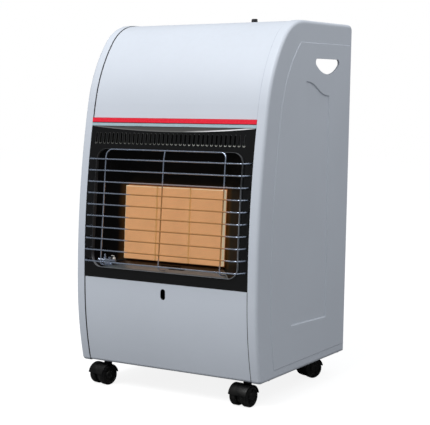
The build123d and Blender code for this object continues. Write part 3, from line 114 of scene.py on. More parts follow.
@dataclass
class Net:
    """Adds and links the nodes of one node tree, and knows the position of the surface's point."""

    tree: bpy.types.NodeTree
    position: Socket | None = None

    @classmethod
    def of(cls, owner: bpy.types.Material | bpy.types.World) -> Net:
        """Empty the node tree of a material or a world.

        Args:
            owner: The material or the world.

        Returns:
            Its net, with nothing in it yet.
        """
        owner.use_nodes = True
        owner.node_tree.nodes.clear()
        return cls(owner.node_tree)

    def add(self, kind: str, inputs: dict | None = None, **settings: object) -> bpy.types.Node:
        """Add a node.

        Args:
            kind: The node's type name.
            inputs: A value or a socket to link for each named or numbered input.
            **settings: Other properties of the node.

        Returns:
            The new node.
        """
        node = self.tree.nodes.new(kind)
        for name, value in settings.items():
            setattr(node, name, value)
        for name, value in (inputs or {}).items():
            self.feed(node.inputs[name], value)
        return node

    def feed(self, target: Socket, value: object) -> None:
        """Link a socket into an input, or set the input's value.

        Args:
            target: The input.
            value: A socket to link, or a plain value.
        """
        if isinstance(value, bpy.types.NodeSocket):
            self.tree.links.new(value, target)
        else:
            target.default_value = value

    def math(self, operation: str, *values: object, clamp: bool = False) -> Socket:
        """The result of a Math node on values or sockets."""
        node = self.add("ShaderNodeMath", dict(enumerate(values)), operation=operation, use_clamp=clamp)
        return node.outputs[0]

    def times(self, first: object, *others: object) -> Socket:
        """Multiply values or sockets.

        Args:
            first: The first factor.
            *others: The other factors.

        Returns:
            The product.
        """
        for other in others:
            first = self.math("MULTIPLY", first, other)
        return first

    def vector(self, operation: str, *values: object, result: str = "Vector") -> Socket:
        """A result of a Vector Math node on vectors or sockets."""
        node = self.add("ShaderNodeVectorMath", dict(enumerate(values)), operation=operation)
        return node.outputs[result]

    def part(self, vector: Socket, axis: Axis) -> Socket:
        """One part of a vector."""
        return self.add("ShaderNodeSeparateXYZ", {0: vector}).outputs[axis.value]

    def at(self, axis: Axis) -> Socket:
        """One part of the surface's position."""
        return self.part(self.position, axis)

    def facing(self, axis: Axis) -> Socket:
        """One part of the surface's normal."""
        return self.part(self.add("ShaderNodeNewGeometry").outputs["Normal"], axis)

    def noise(
        self, scale: object, detail: float, roughness: float = 0.5, result: str = "Fac",
        position: Socket | None = None,
    ) -> Socket:
        """Add a Noise node.

        Args:
            scale: How fine the noise is.
            detail: How many finer layers it has.
            roughness: How strong the finer layers are.
            result: The name of the output that is wanted.
            position: Where the noise is read, if not at the surface's position.

        Returns:
            The wanted output.
        """
        place = position or self.position
        inputs = {"Vector": place, "Scale": scale, "Detail": detail, "Roughness": roughness}
        return self.add("ShaderNodeTexNoise", inputs).outputs[result]

    def ramp(self, value: Socket, low: float, high: float, start: float = 0.0, end: float = 1.0) -> Socket:
        """Map a value's range from low to high onto start to end, held at both ends."""
        inputs = {"Value": value, "From Min": low, "From Max": high, "To Min": start, "To Max": end}
        return self.add("ShaderNodeMapRange", inputs).outputs["Result"]

    def above(self, value: Socket, level: float, blur: float) -> Socket:
        """1 above a level and 0 below it, with a soft change."""
        return self.ramp(value, level - blur, level + blur)

    def below(self, value: Socket, level: float, blur: float) -> Socket:
        """1 below a level and 0 above it, with a soft change."""
        return self.ramp(value, level - blur, level + blur, 1.0, 0.0)

    def mix(self, factor: object, first: object, second: object) -> Socket:
        """Mix two colours.

        Args:
            factor: The second colour's share.
            first: The first colour, as three numbers or as a socket.
            second: The second colour, given in the same way.

        Returns:
            The mixed colour.
        """
        node = self.add("ShaderNodeMix", {"Factor": factor}, data_type="RGBA")
        for index, value in ((6, first), (7, second)):
            self.feed(node.inputs[index], (*value, 1.0) if isinstance(value, tuple) else value)
        return node.outputs[2]

    def blend(self, factor: Socket, first: Socket, second: Socket, end: str) -> None:
        """Mix two shaders and send them to the tree's end."""
        mixed = self.add("ShaderNodeMixShader", {0: factor, 1: first, 2: second})
        self.add(end, {"Surface": mixed.outputs[0]})


def mottle(net: Net, scale: Socket) -> Socket:
    """Soft uneven patches, as in paint that was sprayed or metal that was handled."""
    return net.ramp(net.noise(scale, 4.0), 0.3, 0.7)


def grain(net: Net, scale: Socket, stretch: Socket) -> Socket:
    """Fine relief, drawn out along one direction where the stretch asks for it."""
    drawn = net.vector("MULTIPLY", net.position, stretch)
    return net.noise(scale, 3.0, roughness=0.6, position=drawn)


def scuffs(net: Net, scale: Socket, amount: Socket) -> Socket:
    """Thin hair scratches, in patches.

    Args:
        net: The group's net.
        scale: How close the scratches lie.
        amount: How strong they are.

    Returns:
        The strength of the scratches at each point.
    """
    hair_width, bend_scale, patch_scale = 0.012, 9.0, 14.0
    bent = net.noise(bend_scale, 2.0, result="Color")
    moved = net.vector("MULTIPLY_ADD", bent, net.position, (1.0, 1.0, 1.0))
    lines = net.add("ShaderNodeTexVoronoi", {"Vector": moved, "Scale": scale}, feature="DISTANCE_TO_EDGE")
    thin = net.ramp(lines.outputs["Distance"], 0.0, hair_width, 1.0, 0.0)
    where = net.ramp(net.noise(patch_scale, 2.0), 0.55, 0.68)
    return net.times(thin, where, amount)


def dust(net: Net, amount: Socket) -> Socket:
    """Dust that lies on faces that look upwards, and gathers near the floor.

    Args:
        net: The group's net.
        amount: How much dust there is.

    Returns:
        The share of dust at each point.
    """
    speck_scale, low_height, low_share = 90.0, 60.0 * MM, 0.6
    upward = net.ramp(net.facing(Axis.Z), 0.2, 0.95)
    low = net.ramp(net.at(Axis.Z), low_height, 0.0, 0.0, low_share)
    patchy = net.ramp(net.noise(speck_scale, 5.0), 0.42, 0.68)
    return net.times(net.math("ADD", upward, low, clamp=True), patchy, amount)


def shared(net: Net, effect: Callable[..., Socket], **inputs: object) -> Socket:
    """Place an effect in a material, as a node group that is built when it is first asked for.

    Args:
        net: The material's net.
        effect: The function that wires the effect.
        **inputs: A value or a socket for each of the effect's inputs.

    Returns:
        The effect's result.
    """
    tree = bpy.data.node_groups.get(effect.__name__)
    inputs["position"] = net.position
    if tree is None:
        tree = bpy.data.node_groups.new(effect.__name__, "ShaderNodeTree")
        for label in inputs:
            kind = "Vector" if label in ("position", "stretch") else "Float"
            tree.interface.new_socket(name=label, in_out="INPUT", socket_type="NodeSocket" + kind)
        tree.interface.new_socket(name="result", in_out="OUTPUT", socket_type="NodeSocketFloat")
        inner = Net(tree)
        entry = inner.add("NodeGroupInput")
        given = {label: entry.outputs[label] for label in inputs}
        inner.position = given.pop("position")
        inner.add("NodeGroupOutput", {"result": effect(inner, **given)})
    return net.add("ShaderNodeGroup", inputs, node_tree=tree).outputs["result"]


# Finishes
class Stretch(Enum):
    """Directions in which a finish's grain is drawn out: a small factor makes long streaks."""

    NONE = (1.0, 1.0, 1.0)
    ALONG_X = (0.03, 1.0, 1.0)


@dataclass(frozen=True)
class Finish:
    """A finish with soft colour changes, fine relief, scuffs and dust."""

    name: str
    colour: Colour
    roughness: float
    metallic: float = 0.0
    coat: float = 0.0
    coat_roughness: float = 0.12
    specular: float = 0.5
    mottle: float = 0.04
    mottle_scale: float = 60.0
    roughness_change: float = 0.06
    grain_scale: float = 900.0
    grain_depth: float = 1e-5
    stretch: Stretch = Stretch.NONE
    scuffs: float = 0.0
    scuff_scale: float = 22.0
    scuff_colour: Colour = (0.5, 0.5, 0.5)
    scuff_roughness: float = 0.2
    dust: float = 0.0
    dust_colour: Colour = srgb(168, 164, 156)
    dust_roughness: float = 0.4
    glow: float = 0.0

    def base(self, net: Net) -> Socket:
        """The base colour before scuffs and dust."""
        patches = shared(net, mottle, scale=self.mottle_scale)
        return net.mix(patches, shade(self.colour, 1 - self.mottle), shade(self.colour, 1 + self.mottle))

    def relief(self, net: Net) -> Socket:
        """The height of the surface's fine relief, from 0 to 1."""
        return shared(net, grain, scale=self.grain_scale, stretch=self.stretch.value)

    def metal(self, net: Net) -> Socket | float:
        """How metallic the surface is, as a number or a socket."""
        return self.metallic

    def light(self, net: Net) -> Socket | float:
        """How strongly the surface shines in its own colour."""
        return self.glow

    def material(self) -> bpy.types.Material:
        """Build the finish's material, or hand back the one that was built before.

        Returns:
            The material.
        """
        label = "look_" + self.name
        if label in bpy.data.materials:
            return bpy.data.materials[label]
        material = bpy.data.materials.new(label)
        net = Net.of(material)
        net.position = net.add("ShaderNodeTexCoord").outputs["Object"]
        colour = self.base(net)
        fine = self.relief(net)
        change = self.roughness_change
        rough = net.ramp(fine, 0.3, 0.7, self.roughness - change, self.roughness + change)
        if self.scuffs:
            lines = shared(net, scuffs, scale=self.scuff_scale, amount=self.scuffs)
            colour = net.mix(lines, colour, self.scuff_colour)
            rough = net.math("ADD", rough, net.times(lines, self.scuff_roughness), clamp=True)
        if self.dust:
            settled = shared(net, dust, amount=self.dust)
            colour = net.mix(settled, colour, self.dust_colour)
            rough = net.math("ADD", rough, net.times(settled, self.dust_roughness), clamp=True)
        bump = net.add("ShaderNodeBump", {"Height": fine, "Strength": 1.0, "Distance": self.grain_depth})
        looks = {
            "Base Color": colour, "Roughness": rough, "Normal": bump.outputs["Normal"],
            "Metallic": self.metal(net), "Specular IOR Level": self.specular,
            "Coat Weight": self.coat, "Coat Roughness": self.coat_roughness,
        }
        if self.glow:
            looks |= {"Emission Color": colour, "Emission Strength": self.light(net)}
        shader = net.add("ShaderNodeBsdfPrincipled", looks)
        net.add("ShaderNodeOutputMaterial", {"Surface": shader.outputs["BSDF"]})
        material.diffuse_color = (*self.colour, 1.0)
        return material


@dataclass(frozen=True)
class PlaqueFinish(Finish):
    """Porous ceramic: a face with rows of fine flame ports in painted shade, a painted highlight along its
    top and left edges, and outer sides and gaps brightened by painted light.
    """

    # Painted light: the outer sides and the gaps between the plaques are made pale and given a glow of their
    # own, and the pale side colour also paints the highlight along the face's top and left edges.
    lit_side_colour: Colour = srgb(244, 226, 190)
    lit_gap_colour: Colour = srgb(226, 190, 134)
    side_painted_glow: float = 0.4
    gap_painted_glow: float = 0.2
    outer_x: float = 0.105
    # Where the painted highlight along the face's top and left edges begins.
    highlight_x: float = -0.1124
    highlight_z: float = 0.4025
    highlight_blur: float = 0.3 * MM
    port_pitch: float = 2.6 * MM
    row_pitch: float = 0.866
    port_radius: float = 0.26
    port_edge: tuple[float, float] = (0.7 * port_radius, 1.2 * port_radius)
    # Painted shade in the ports: the holes are coloured darker than the ceramic, on top of their bump.
    port_tone: float = 0.4
    port_shade: float = 0.45
    port_depth: float = 0.8
    grain_share: float = 0.3
    lean: float = 4.0

    def _ports(self, net: Net) -> Socket:
        """Tell the flame ports from the ceramic between them.

        Args:
            net: The material's net.

        Returns:
            1 at the middle of a port and 0 between the ports.
        """
        upright = {"Vector": net.position, "Rotation": (math.radians(self.lean), 0.0, 0.0)}
        level = net.add("ShaderNodeMapping", upright).outputs[0]
        row = net.math("DIVIDE", net.part(level, Axis.Z), self.port_pitch * self.row_pitch)
        odd = net.times(net.math("MODULO", net.math("FLOOR", row), 2.0), 0.5)
        place = net.math("DIVIDE", net.part(level, Axis.X), self.port_pitch)
        squares = [
            net.math("POWER", net.math("SUBTRACT", net.math("FRACT", count), 0.5), 2.0)
            for count in (net.math("ADD", place, odd), row)
        ]
        distance = net.math("SQRT", net.math("ADD", *squares))
        return net.ramp(distance, *self.port_edge, 1.0, 0.0)

    def _face(self, net: Net) -> Socket:
        """1 on the ported face, 0 on the sides."""
        return net.ramp(net.facing(Axis.Y), -0.8, -0.6, 1.0, 0.0)

    def _outer(self, net: Net) -> Socket:
        """1 on the row's outer ends, 0 between the plaques."""
        aside = net.math("ABSOLUTE", net.at(Axis.X))
        return net.ramp(aside, self.outer_x, self.outer_x + MM)

    def base(self, net: Net) -> Socket:
        """The face's colour with painted shade in its ports and a painted highlight along its top and left
        edges, and the painted light on the sides.

        Args:
            net: The material's net.

        Returns:
            A colour socket.
        """
        plain = super().base(net)
        # Painted shade in the flame ports.
        ports = net.times(self._ports(net), self.port_shade)
        ported = net.mix(ports, plain, shade(self.colour, self.port_tone))
        # Painted highlight along the face's top and left edges.
        top = net.above(net.at(Axis.Z), self.highlight_z, self.highlight_blur)
        end = net.below(net.at(Axis.X), self.highlight_x, self.highlight_blur)
        edge_lit = net.mix(net.math("MAXIMUM", top, end), ported, self.lit_side_colour)
        # Painted light on the outer sides and in the gaps between the plaques.
        sides = net.mix(self._outer(net), self.lit_gap_colour, self.lit_side_colour)
        return net.mix(self._face(net), sides, edge_lit)

    def light(self, net: Net) -> Socket:
        """A faint glow on the face, and a stronger painted glow on the outer sides and in the gaps.

        Args:
            net: The material's net.

        Returns:
            The shine's strength.
        """
        sides = net.ramp(self._outer(net), 0.0, 1.0, self.gap_painted_glow, self.side_painted_glow)
        face = self._face(net)
        kept = net.times(sides, net.math("SUBTRACT", 1.0, face))
        return net.math("ADD", kept, net.times(face, self.glow))

    def relief(self, net: Net) -> Socket:
        """The ports' depth over the ceramic's own grain.

        Args:
            net: The material's net.

        Returns:
            The height at each point.
        """
        fine = super().relief(net)
        ports = net.times(self._ports(net), -self.port_depth)
        return net.math("ADD", net.times(fine, self.grain_share), ports)


@dataclass(frozen=True)
class TintedSteel(Finish):
    """Dark steel with painted warm light from the burners round them, and a painted highlight on the bright
    rim at the mouth.
    """

    # Painted light: the warm brown that the glowing plaques cast on the steel round them.
    plaque_glow: Colour = srgb(84, 54, 18)
    half_width: float = 0.119
    top: float = 0.4
    foot: float = 0.266
    reach: float = 16.0 * MM
    rim: Colour = srgb(206, 210, 216)
    rim_metallic: float = 0.7
    mouth_y: float = FRONT_Y + 14.59 * MM
    mouth_z: float = 0.3595
    mouth_lean: float = 5.48
    collar: tuple[float, float] = (0.1 * MM, 0.4 * MM)
    # Painted highlight on the rim: a faint share everywhere, strongest on the right and low down.
    rim_glint: float = 0.08
    right_x: tuple[float, float] = (0.09, 0.13)
    right_z: tuple[float, float] = (mouth_z + 0.06, mouth_z + 0.02)
    right_glint: tuple[float, float] = (0.15, 0.8)
    low_z: tuple[float, float] = (mouth_z - 0.085, mouth_z - 0.105)
    low_glint: float = 0.5
    wave_scale: float = 25.0
    wave_reach: float = 8.0 * MM

    def _rim_glint(self, net: Net) -> Socket:
        """Where the collar ahead of the mouth's plane gets a painted highlight: low down and on the right.

        Args:
            net: The material's net.

        Returns:
            The painted highlight's share at each point, from 0 to 1.
        """
        lean = math.radians(self.mouth_lean)
        normal = (0.0, -math.cos(lean), math.sin(lean))
        ahead = net.vector("DOT_PRODUCT", net.position, normal, result="Value")
        plane = self.mouth_z * math.sin(lean) - self.mouth_y * math.cos(lean)
        proud = net.ramp(ahead, *(plane + step for step in self.collar))
        height = net.at(Axis.Z)
        right = net.ramp(net.at(Axis.X), *self.right_x)
        side = net.times(right, net.ramp(height, *self.right_z, *self.right_glint))
        low = net.ramp(height, *self.low_z, 0.0, self.low_glint)
        # Painted highlight's share on the collar.
        glint = net.math("MAXIMUM", net.math("MAXIMUM", side, low), self.rim_glint)
        return net.times(proud, glint)

    def metal(self, net: Net) -> Socket:
        """Metallic only where the rim's painted highlight is."""
        return net.times(self._rim_glint(net), self.rim_metallic)

    def base(self, net: Net) -> Socket:
        """The steel's colour, with painted warm light close round the burners and the rim's painted
        highlight.

        Args:
            net: The material's net.

        Returns:
            A colour socket.
        """
        plain = super().base(net)
        height = net.at(Axis.Z)
        across = net.math("ABSOLUTE", net.at(Axis.X))
        aside = net.math("SUBTRACT", across, self.half_width)
        over = net.math("SUBTRACT", height, self.top)
        under = net.math("SUBTRACT", self.foot, height)
        away = net.math("MAXIMUM", aside, net.math("MAXIMUM", over, under))
        wavy = net.times(net.noise(self.wave_scale, 3.0), self.wave_reach)
        # Share of the painted warm light from the plaques, fading away from the burners.
        heat = net.ramp(net.math("ADD", away, wavy), 0.0, self.reach, 1.0, 0.0)
        return net.mix(self._rim_glint(net), net.mix(heat, plain, self.plaque_glow), self.rim)


@dataclass(frozen=True)
class WireFinish(Finish):
    """Bright wire with a painted brown reflection of the glowing plaques where it passes them."""

    # Painted reflection: the brown of the glowing plaques on the wire in front of them.
    plaque_glow: Colour = srgb(186, 132, 78)
    glow_metallic: float = 0.2
    left: float = -0.078
    right: float = 0.15
    foot: float = 0.266
    top: float = 0.412
    soft: float = 8.0 * MM

    def _before_plaques(self, net: Net) -> Socket:
        """Where the wire passes the burners.

        Args:
            net: The material's net.

        Returns:
            1 ahead of the burners and 0 elsewhere.
        """
        across, height = net.at(Axis.X), net.at(Axis.Z)
        return net.times(
            net.above(across, self.left, self.soft), net.below(across, self.right, self.soft),
            net.above(height, self.foot, self.soft), net.below(height, self.top, self.soft),
        )

    def base(self, net: Net) -> Socket:
        """The wire's colour, with a painted brown reflection of the plaques ahead of the burners."""
        return net.mix(self._before_plaques(net), super().base(net), self.plaque_glow)

    def metal(self, net: Net) -> Socket:
        """Less metallic where the plaques' reflection is painted."""
        return net.ramp(self._before_plaques(net), 0.0, 1.0, self.metallic, self.glow_metallic)


@dataclass(frozen=True)
class BandFinish(Finish):
    """A finish with a second colour below a line on one axis."""

    # The default colour and line are the painted shadow in the groove along the foot of the red strip.
    low_colour: Colour = srgb(40, 30, 32)
    line: float = 0.5283
    axis: Axis = Axis.Z
    blur: float = 0.2 * MM

    def base(self, net: Net) -> Socket:
        """The upper colour, and the lower one under the line."""
        upper = net.above(net.at(self.axis), self.line, self.blur)
        return net.mix(upper, self.low_colour, super().base(net))


@dataclass(frozen=True)
class BrowEnamel(Finish):
    """Black enamel with painted light on the brow where the sheet is pressed out above the vents."""

    # Painted light on the brow, and the painted highlight along its lower edge.
    brow_sheen: Colour = srgb(84, 84, 82)
    gleam: Colour = srgb(255, 255, 255)
    centre: Triple = (0.0, FRONT_Y + 1.75, 0.193)
    sheet_radius: float = 1.7486
    brow_radii: tuple[float, float] = (sheet_radius + 0.4 * MM, sheet_radius + 0.7 * MM)
    arc_z: float = 2.48962
    arc_radius: float = 1.97852
    gleam_width: float = 1.8 * MM
    gleam_blur: float = 0.3 * MM
    gleam_x: tuple[float, float] = (0.03, 0.1)
    gleam_share: tuple[float, float] = (0.08, 1.0)

    def base(self, net: Net) -> Socket:
        """The enamel's colour, with painted light on the brow and a painted highlight along the right of its
        lower edge.

        Args:
            net: The material's net.

        Returns:
            A colour socket.
        """
        level = net.vector("MULTIPLY", net.position, (0.0, 1.0, 1.0))
        reach = net.vector("DISTANCE", level, self.centre, result="Value")
        proud = net.ramp(reach, *self.brow_radii)
        upright = net.vector("MULTIPLY", net.position, (1.0, 0.0, 1.0))
        sweep = net.vector("DISTANCE", upright, (0.0, 0.0, self.arc_z), result="Value")
        inner = self.arc_radius - self.gleam_width
        across = net.ramp(net.at(Axis.X), *self.gleam_x, *self.gleam_share)
        bright = net.times(net.ramp(sweep, inner - self.gleam_blur, inner), across)
        return net.mix(proud, super().base(net), net.mix(bright, self.brow_sheen, self.gleam))


@dataclass(frozen=True)
class LipFinish(Finish):
    """Dark lips of the vents, with painted highlights at their lower ends, and a little along the left ones.
    """

    # Colour of the painted highlights on the lips.
    glint: Colour = srgb(236, 236, 226)
    foot_z: float = 0.4888
    foot_range: tuple[float, float] = (foot_z - 0.6 * MM, foot_z + 0.4 * MM)
    end_x: float = 0.06
    end_glint: tuple[float, float] = (0.25, 0.9)
    left_x: float = 0.02
    left_glint: float = 0.04

    def base(self, net: Net) -> Socket:
        """The lips' colour with the painted highlights at their ends.

        Args:
            net: The material's net.

        Returns:
            A colour socket.
        """
        across, height = net.at(Axis.X), net.at(Axis.Z)
        low = net.ramp(height, *self.foot_range, 1.0, 0.0)
        ends = net.times(low, net.ramp(across, -self.end_x, self.end_x, *self.end_glint))
        left = net.ramp(across, self.left_x, -self.end_x, 0.0, self.left_glint)
        return net.mix(net.math("MAXIMUM", ends, left), super().base(net), self.glint)


SILVER_PAINT = Finish(
    "silver_paint", srgb(211, 217, 226), 0.5, metallic=0.05, specular=0.3, mottle=0.02, mottle_scale=5.0,
    roughness_change=0.04, grain_scale=520.0, grain_depth=1.2e-5, scuffs=0.05,
    scuff_colour=srgb(168, 172, 176), dust=0.05,
)
REAR_PAINT = replace(SILVER_PAINT, name="rear_cover_paint", roughness=0.42, scuffs=0.12, dust=0.08)
BLACK_ENAMEL = BrowEnamel(
    "black_enamel", srgb(11, 11, 12), 0.22, coat=0.1, mottle=0.15, mottle_scale=14.0, roughness_change=0.04,
    grain_scale=380.0, scuffs=0.05, scuff_colour=srgb(70, 70, 72), dust=0.05,
)
VENT_EDGE = LipFinish(
    "vent_edge", srgb(26, 26, 27), 0.3, coat=0.1, mottle=0.08, grain_scale=700.0, grain_depth=6e-6
)
# Painted shadow: the strip's lowest part takes the band's dark default colour, for the shade in the groove
# under it.
RED_TRIM = BandFinish(
    "red_trim", srgb(244, 34, 58), 0.25, coat=0.4, mottle_scale=12.0, grain_scale=600.0, grain_depth=6e-6,
    scuffs=0.05, scuff_colour=srgb(240, 120, 130),
)
PALE_TRIM = Finish(
    "pale_trim", srgb(196, 224, 232), 0.3, metallic=0.35, coat=0.2, mottle_scale=16.0,
    stretch=Stretch.ALONG_X, grain_scale=800.0,
)
GALVANISED = Finish(
    "galvanised_steel", srgb(172, 176, 180), 0.42, metallic=0.85, mottle=0.16, mottle_scale=70.0,
    roughness_change=0.12, grain_scale=160.0, grain_depth=2e-5, scuffs=0.25,
    scuff_colour=srgb(210, 212, 214), dust=0.2,
)
SOOTED_STEEL = replace(
    GALVANISED, name="sooted_steel", colour=srgb(58, 58, 60), metallic=0.5, scuffs=0.1, dust=0.1
)
REFLECTOR = TintedSteel(
    "reflector_steel", srgb(7, 6, 6), 0.4, specular=0.08, mottle=0.18, mottle_scale=20.0,
    roughness_change=0.08, grain_scale=420.0,
)
# Painted shadow: the tray's back under the plaques is dark brown, and its front ahead of the line keeps the
# steel's grey.
TRAY_STEEL = BandFinish(
    "tray_steel", srgb(58, 38, 24), 0.3, metallic=0.4, mottle=0.1, mottle_scale=30.0, roughness_change=0.08,
    grain_scale=500.0, grain_depth=2e-5, stretch=Stretch.ALONG_X, scuffs=0.2,
    low_colour=srgb(106, 113, 117), line=FRONT_Y + 20.5 * MM, axis=Axis.Y, blur=2.5 * MM,
)
PLAQUE = PlaqueFinish(
    "burner_ceramic", srgb(240, 178, 124), 0.85, mottle=0.05, mottle_scale=22.0, grain_scale=700.0,
    grain_depth=4e-4, specular=0.2, glow=0.1,
)
BURNER_CASING = Finish(
    "burner_casing", srgb(196, 122, 66), 0.6, specular=0.2, mottle=0.2, mottle_scale=26.0,
    roughness_change=0.1, grain_scale=300.0, grain_depth=3e-5, scuffs=0.2, dust=0.05,
)
CHROME_WIRE = WireFinish("chrome_wire", srgb(186, 198, 218), 0.2, metallic=0.85, mottle=0.06)
BRASS = Finish(
    "brass", srgb(206, 170, 98), 0.3, metallic=0.95, mottle=0.08, roughness_change=0.08, grain_scale=700.0,
    scuffs=0.1, scuff_colour=srgb(230, 205, 150),
)
VALVE_ALLOY = Finish(
    "valve_alloy", srgb(168, 170, 172), 0.48, metallic=0.8, mottle=0.08, mottle_scale=50.0,
    grain_scale=340.0, grain_depth=8e-5, scuffs=0.1, dust=0.1,
)
ALUMINIUM_TUBE = Finish(
    "aluminium_tube", srgb(190, 192, 194), 0.38, metallic=0.9, mottle=0.06, mottle_scale=50.0,
    grain_scale=420.0, grain_depth=3e-5, scuffs=0.15, scuff_colour=srgb(220, 222, 224),
)
COPPER = Finish(
    "copper", srgb(184, 112, 78), 0.34, metallic=0.95, mottle=0.12, grain_scale=500.0, grain_depth=2e-5
)
LEAD_SLEEVE = Finish(
    "lead_sleeve", srgb(188, 182, 172), 0.65, mottle=0.06, grain_scale=1400.0, grain_depth=6e-5
)
WHITE_CERAMIC = BandFinish(
    "white_ceramic", srgb(236, 234, 228), 0.25, coat=0.3, low_colour=srgb(70, 72, 76), line=0.258,
    mottle=0.03, grain_scale=800.0,
)
PROBE_STEEL = Finish(
    "probe_steel", srgb(176, 186, 204), 0.26, metallic=0.8, mottle=0.14, mottle_scale=90.0,
    grain_scale=700.0, grain_depth=2e-5,
)
KNOB_PLASTIC = Finish(
    "knob_plastic", srgb(34, 34, 36), 0.42, mottle=0.06, mottle_scale=50.0, grain_scale=1500.0,
    grain_depth=3e-5, dust=0.06,
)
DIAL = Finish(
    "dial_plate", srgb(176, 180, 184), 0.35, metallic=0.7, mottle_scale=40.0, stretch=Stretch.ALONG_X
)
PRINT_BLACK = Finish("print_black", srgb(30, 30, 32), 0.5, mottle_scale=8.0)
PRINT_WHITE = Finish("print_white", srgb(236, 236, 234), 0.45, mottle_scale=8.0)
SPRING_STEEL = Finish(
    "spring_steel", srgb(140, 144, 148), 0.3, metallic=0.95, mottle=0.06, mottle_scale=90.0
)
CASTOR_PLASTIC = Finish(
    "castor_plastic", srgb(5, 5, 5), 0.38, mottle=0.08, mottle_scale=40.0, grain_scale=1300.0,
    grain_depth=4e-5, specular=0.35, scuffs=0.15, scuff_colour=srgb(46, 46, 48), dust=0.04,
)
WHEEL_PLASTIC = Finish(
    "wheel_plastic", srgb(6, 6, 6), 0.46, mottle=0.1, mottle_scale=50.0, grain_scale=1000.0,
    grain_depth=6e-5, specular=0.35, scuffs=0.25, scuff_colour=srgb(54, 54, 56), dust=0.08,
)
SEAL_RUBBER = Finish(
    "seal_rubber", srgb(38, 34, 32), 0.7, mottle=0.08, grain_depth=3e-5, specular=0.25
)
# Painted highlight: the seal on the right is pale, and the one on the left keeps the rubber's dark colour.
UPPER_SEAL_LIT_RIGHT = BandFinish(
    "upper_seal", srgb(196, 202, 212), 0.6, low_colour=srgb(38, 34, 32), line=0.0, axis=Axis.X, mottle=0.08,
    grain_depth=3e-5, specular=0.25,
)
ZINC_STEEL = Finish(
    "zinc_steel", srgb(180, 182, 186), 0.34, metallic=0.95, mottle=0.1, mottle_scale=90.0,
    grain_scale=700.0, grain_depth=2e-5, scuffs=0.15,
)


# Modelling by hand
def deselect_all() -> None:
    """Leave nothing selected, in object mode."""
    if bpy.context.object and bpy.context.object.mode != "OBJECT":
        bpy.ops.object.mode_set(mode="OBJECT")
    bpy.ops.object.select_all(action="DESELECT")


def take(piece: Object) -> None:
    """Make one piece the only selected and the active one.

    Args:
        piece: The piece.
    """
    deselect_all()
    piece.select_set(True)
    bpy.context.view_layer.objects.active = piece


def added(name: str, operator: Callable[..., object], **settings: object) -> Object:
    """Add an object by an operator.

    Args:
        name: The new object's name.
        operator: The operator that adds it.
        **settings: The operator's settings.

    Returns:
        The new object.
    """
    deselect_all()
    operator(**settings)
    bpy.context.object.name = name
    return bpy.context.object


@contextmanager
def editing(piece: Object, element: str = "FACE", action: str = "DESELECT") -> Iterator[bmesh.types.BMesh]:
    """Edit a piece's mesh.

    Args:
        piece: The piece to edit.
        element: VERT, EDGE or FACE.
        action: SELECT or DESELECT, for all of the mesh.

    Yields:
        The mesh in edit mode.
    """
    take(piece)
    bpy.ops.object.mode_set(mode="EDIT")
    bpy.ops.mesh.select_mode(type=element)
    bpy.ops.mesh.select_all(action=action)
    yield bmesh.from_edit_mesh(piece.data)
    bpy.ops.object.mode_set(mode="OBJECT")


def pick(piece: Object, elements: Iterable, wanted: Callable[..., bool]) -> None:
    """Select what is wanted of a piece in edit mode, and nothing else.

    Args:
        piece: The piece.
        elements: Its vertices, edges or faces.
        wanted: Tells whether one of them is selected.
    """
    for element in elements:
        element.select_set(wanted(element))
    bmesh.update_edit_mesh(piece.data)


def rise(edge: bmesh.types.BMEdge) -> float:
    """How far an edge rises, in millimetres."""
    return abs(edge.verts[0].co.z - edge.verts[1].co.z) / MM


def finish_with(piece: Object, kind: str, **settings: object) -> None:
    """Add a modifier to a piece and apply it.

    Args:
        piece: The piece.
        kind: The modifier's type.
        **settings: The modifier's settings.
    """
    modifier = piece.modifiers.new(kind, kind)
    for name, value in settings.items():
        setattr(modifier, name, value)
    take(piece)
    bpy.ops.object.modifier_apply(modifier=modifier.name)


def smooth(piece: Object, angle: float = 35.0) -> None:
    """Shade a piece smooth, apart from edges sharper than an angle in degrees."""
    take(piece)
    bpy.ops.object.shade_smooth_by_angle(angle=math.radians(angle))


def lathe(name: str, profile: Profile, steps: int = 64) -> Object:
    """Turn a profile about the Z axis.

    Args:
        name: The new piece's name.
        profile: Radius and height of each point, in millimetres.
        steps: How many steps go round.

    Returns:
        A closed piece, with its axis on Z.
    """
    piece = added(name, bpy.ops.mesh.primitive_plane_add, size=MM)
    with editing(piece, "VERT", "SELECT"):
        bpy.ops.mesh.merge(type="CENTER")
        bpy.ops.transform.translate(value=(profile[0][0] * MM, 0.0, profile[0][1] * MM))
        for (radius, height), (next_radius, next_height) in zip(profile, profile[1:]):
            move = ((next_radius - radius) * MM, 0.0, (next_height - height) * MM)
            bpy.ops.mesh.extrude_region_move(TRANSFORM_OT_translate={"value": move})
        bpy.ops.mesh.select_all(action="SELECT")
        bpy.ops.mesh.spin(steps=steps, angle=math.tau, center=(0.0, 0.0, 0.0), axis=(0.0, 0.0, 1.0))
        bpy.ops.mesh.select_all(action="SELECT")
        bpy.ops.mesh.remove_doubles(threshold=0.005 * MM)
        bpy.ops.mesh.normals_make_consistent(inside=False)
    return piece


def block(name: str, size: Triple, centre: Triple) -> Object:
    """A box to be shaped further, with its place in its mesh.

    Args:
        name: The new piece's name.
        size: Its width, depth and height in millimetres.
        centre: Its middle in millimetres.

    Returns:
        The box.
    """
    piece = added(name, bpy.ops.mesh.primitive_cube_add, size=MM)
    with editing(piece, action="SELECT"):
        bpy.ops.transform.resize(value=size)
        bpy.ops.transform.translate(value=[part * MM for part in centre])
    return piece


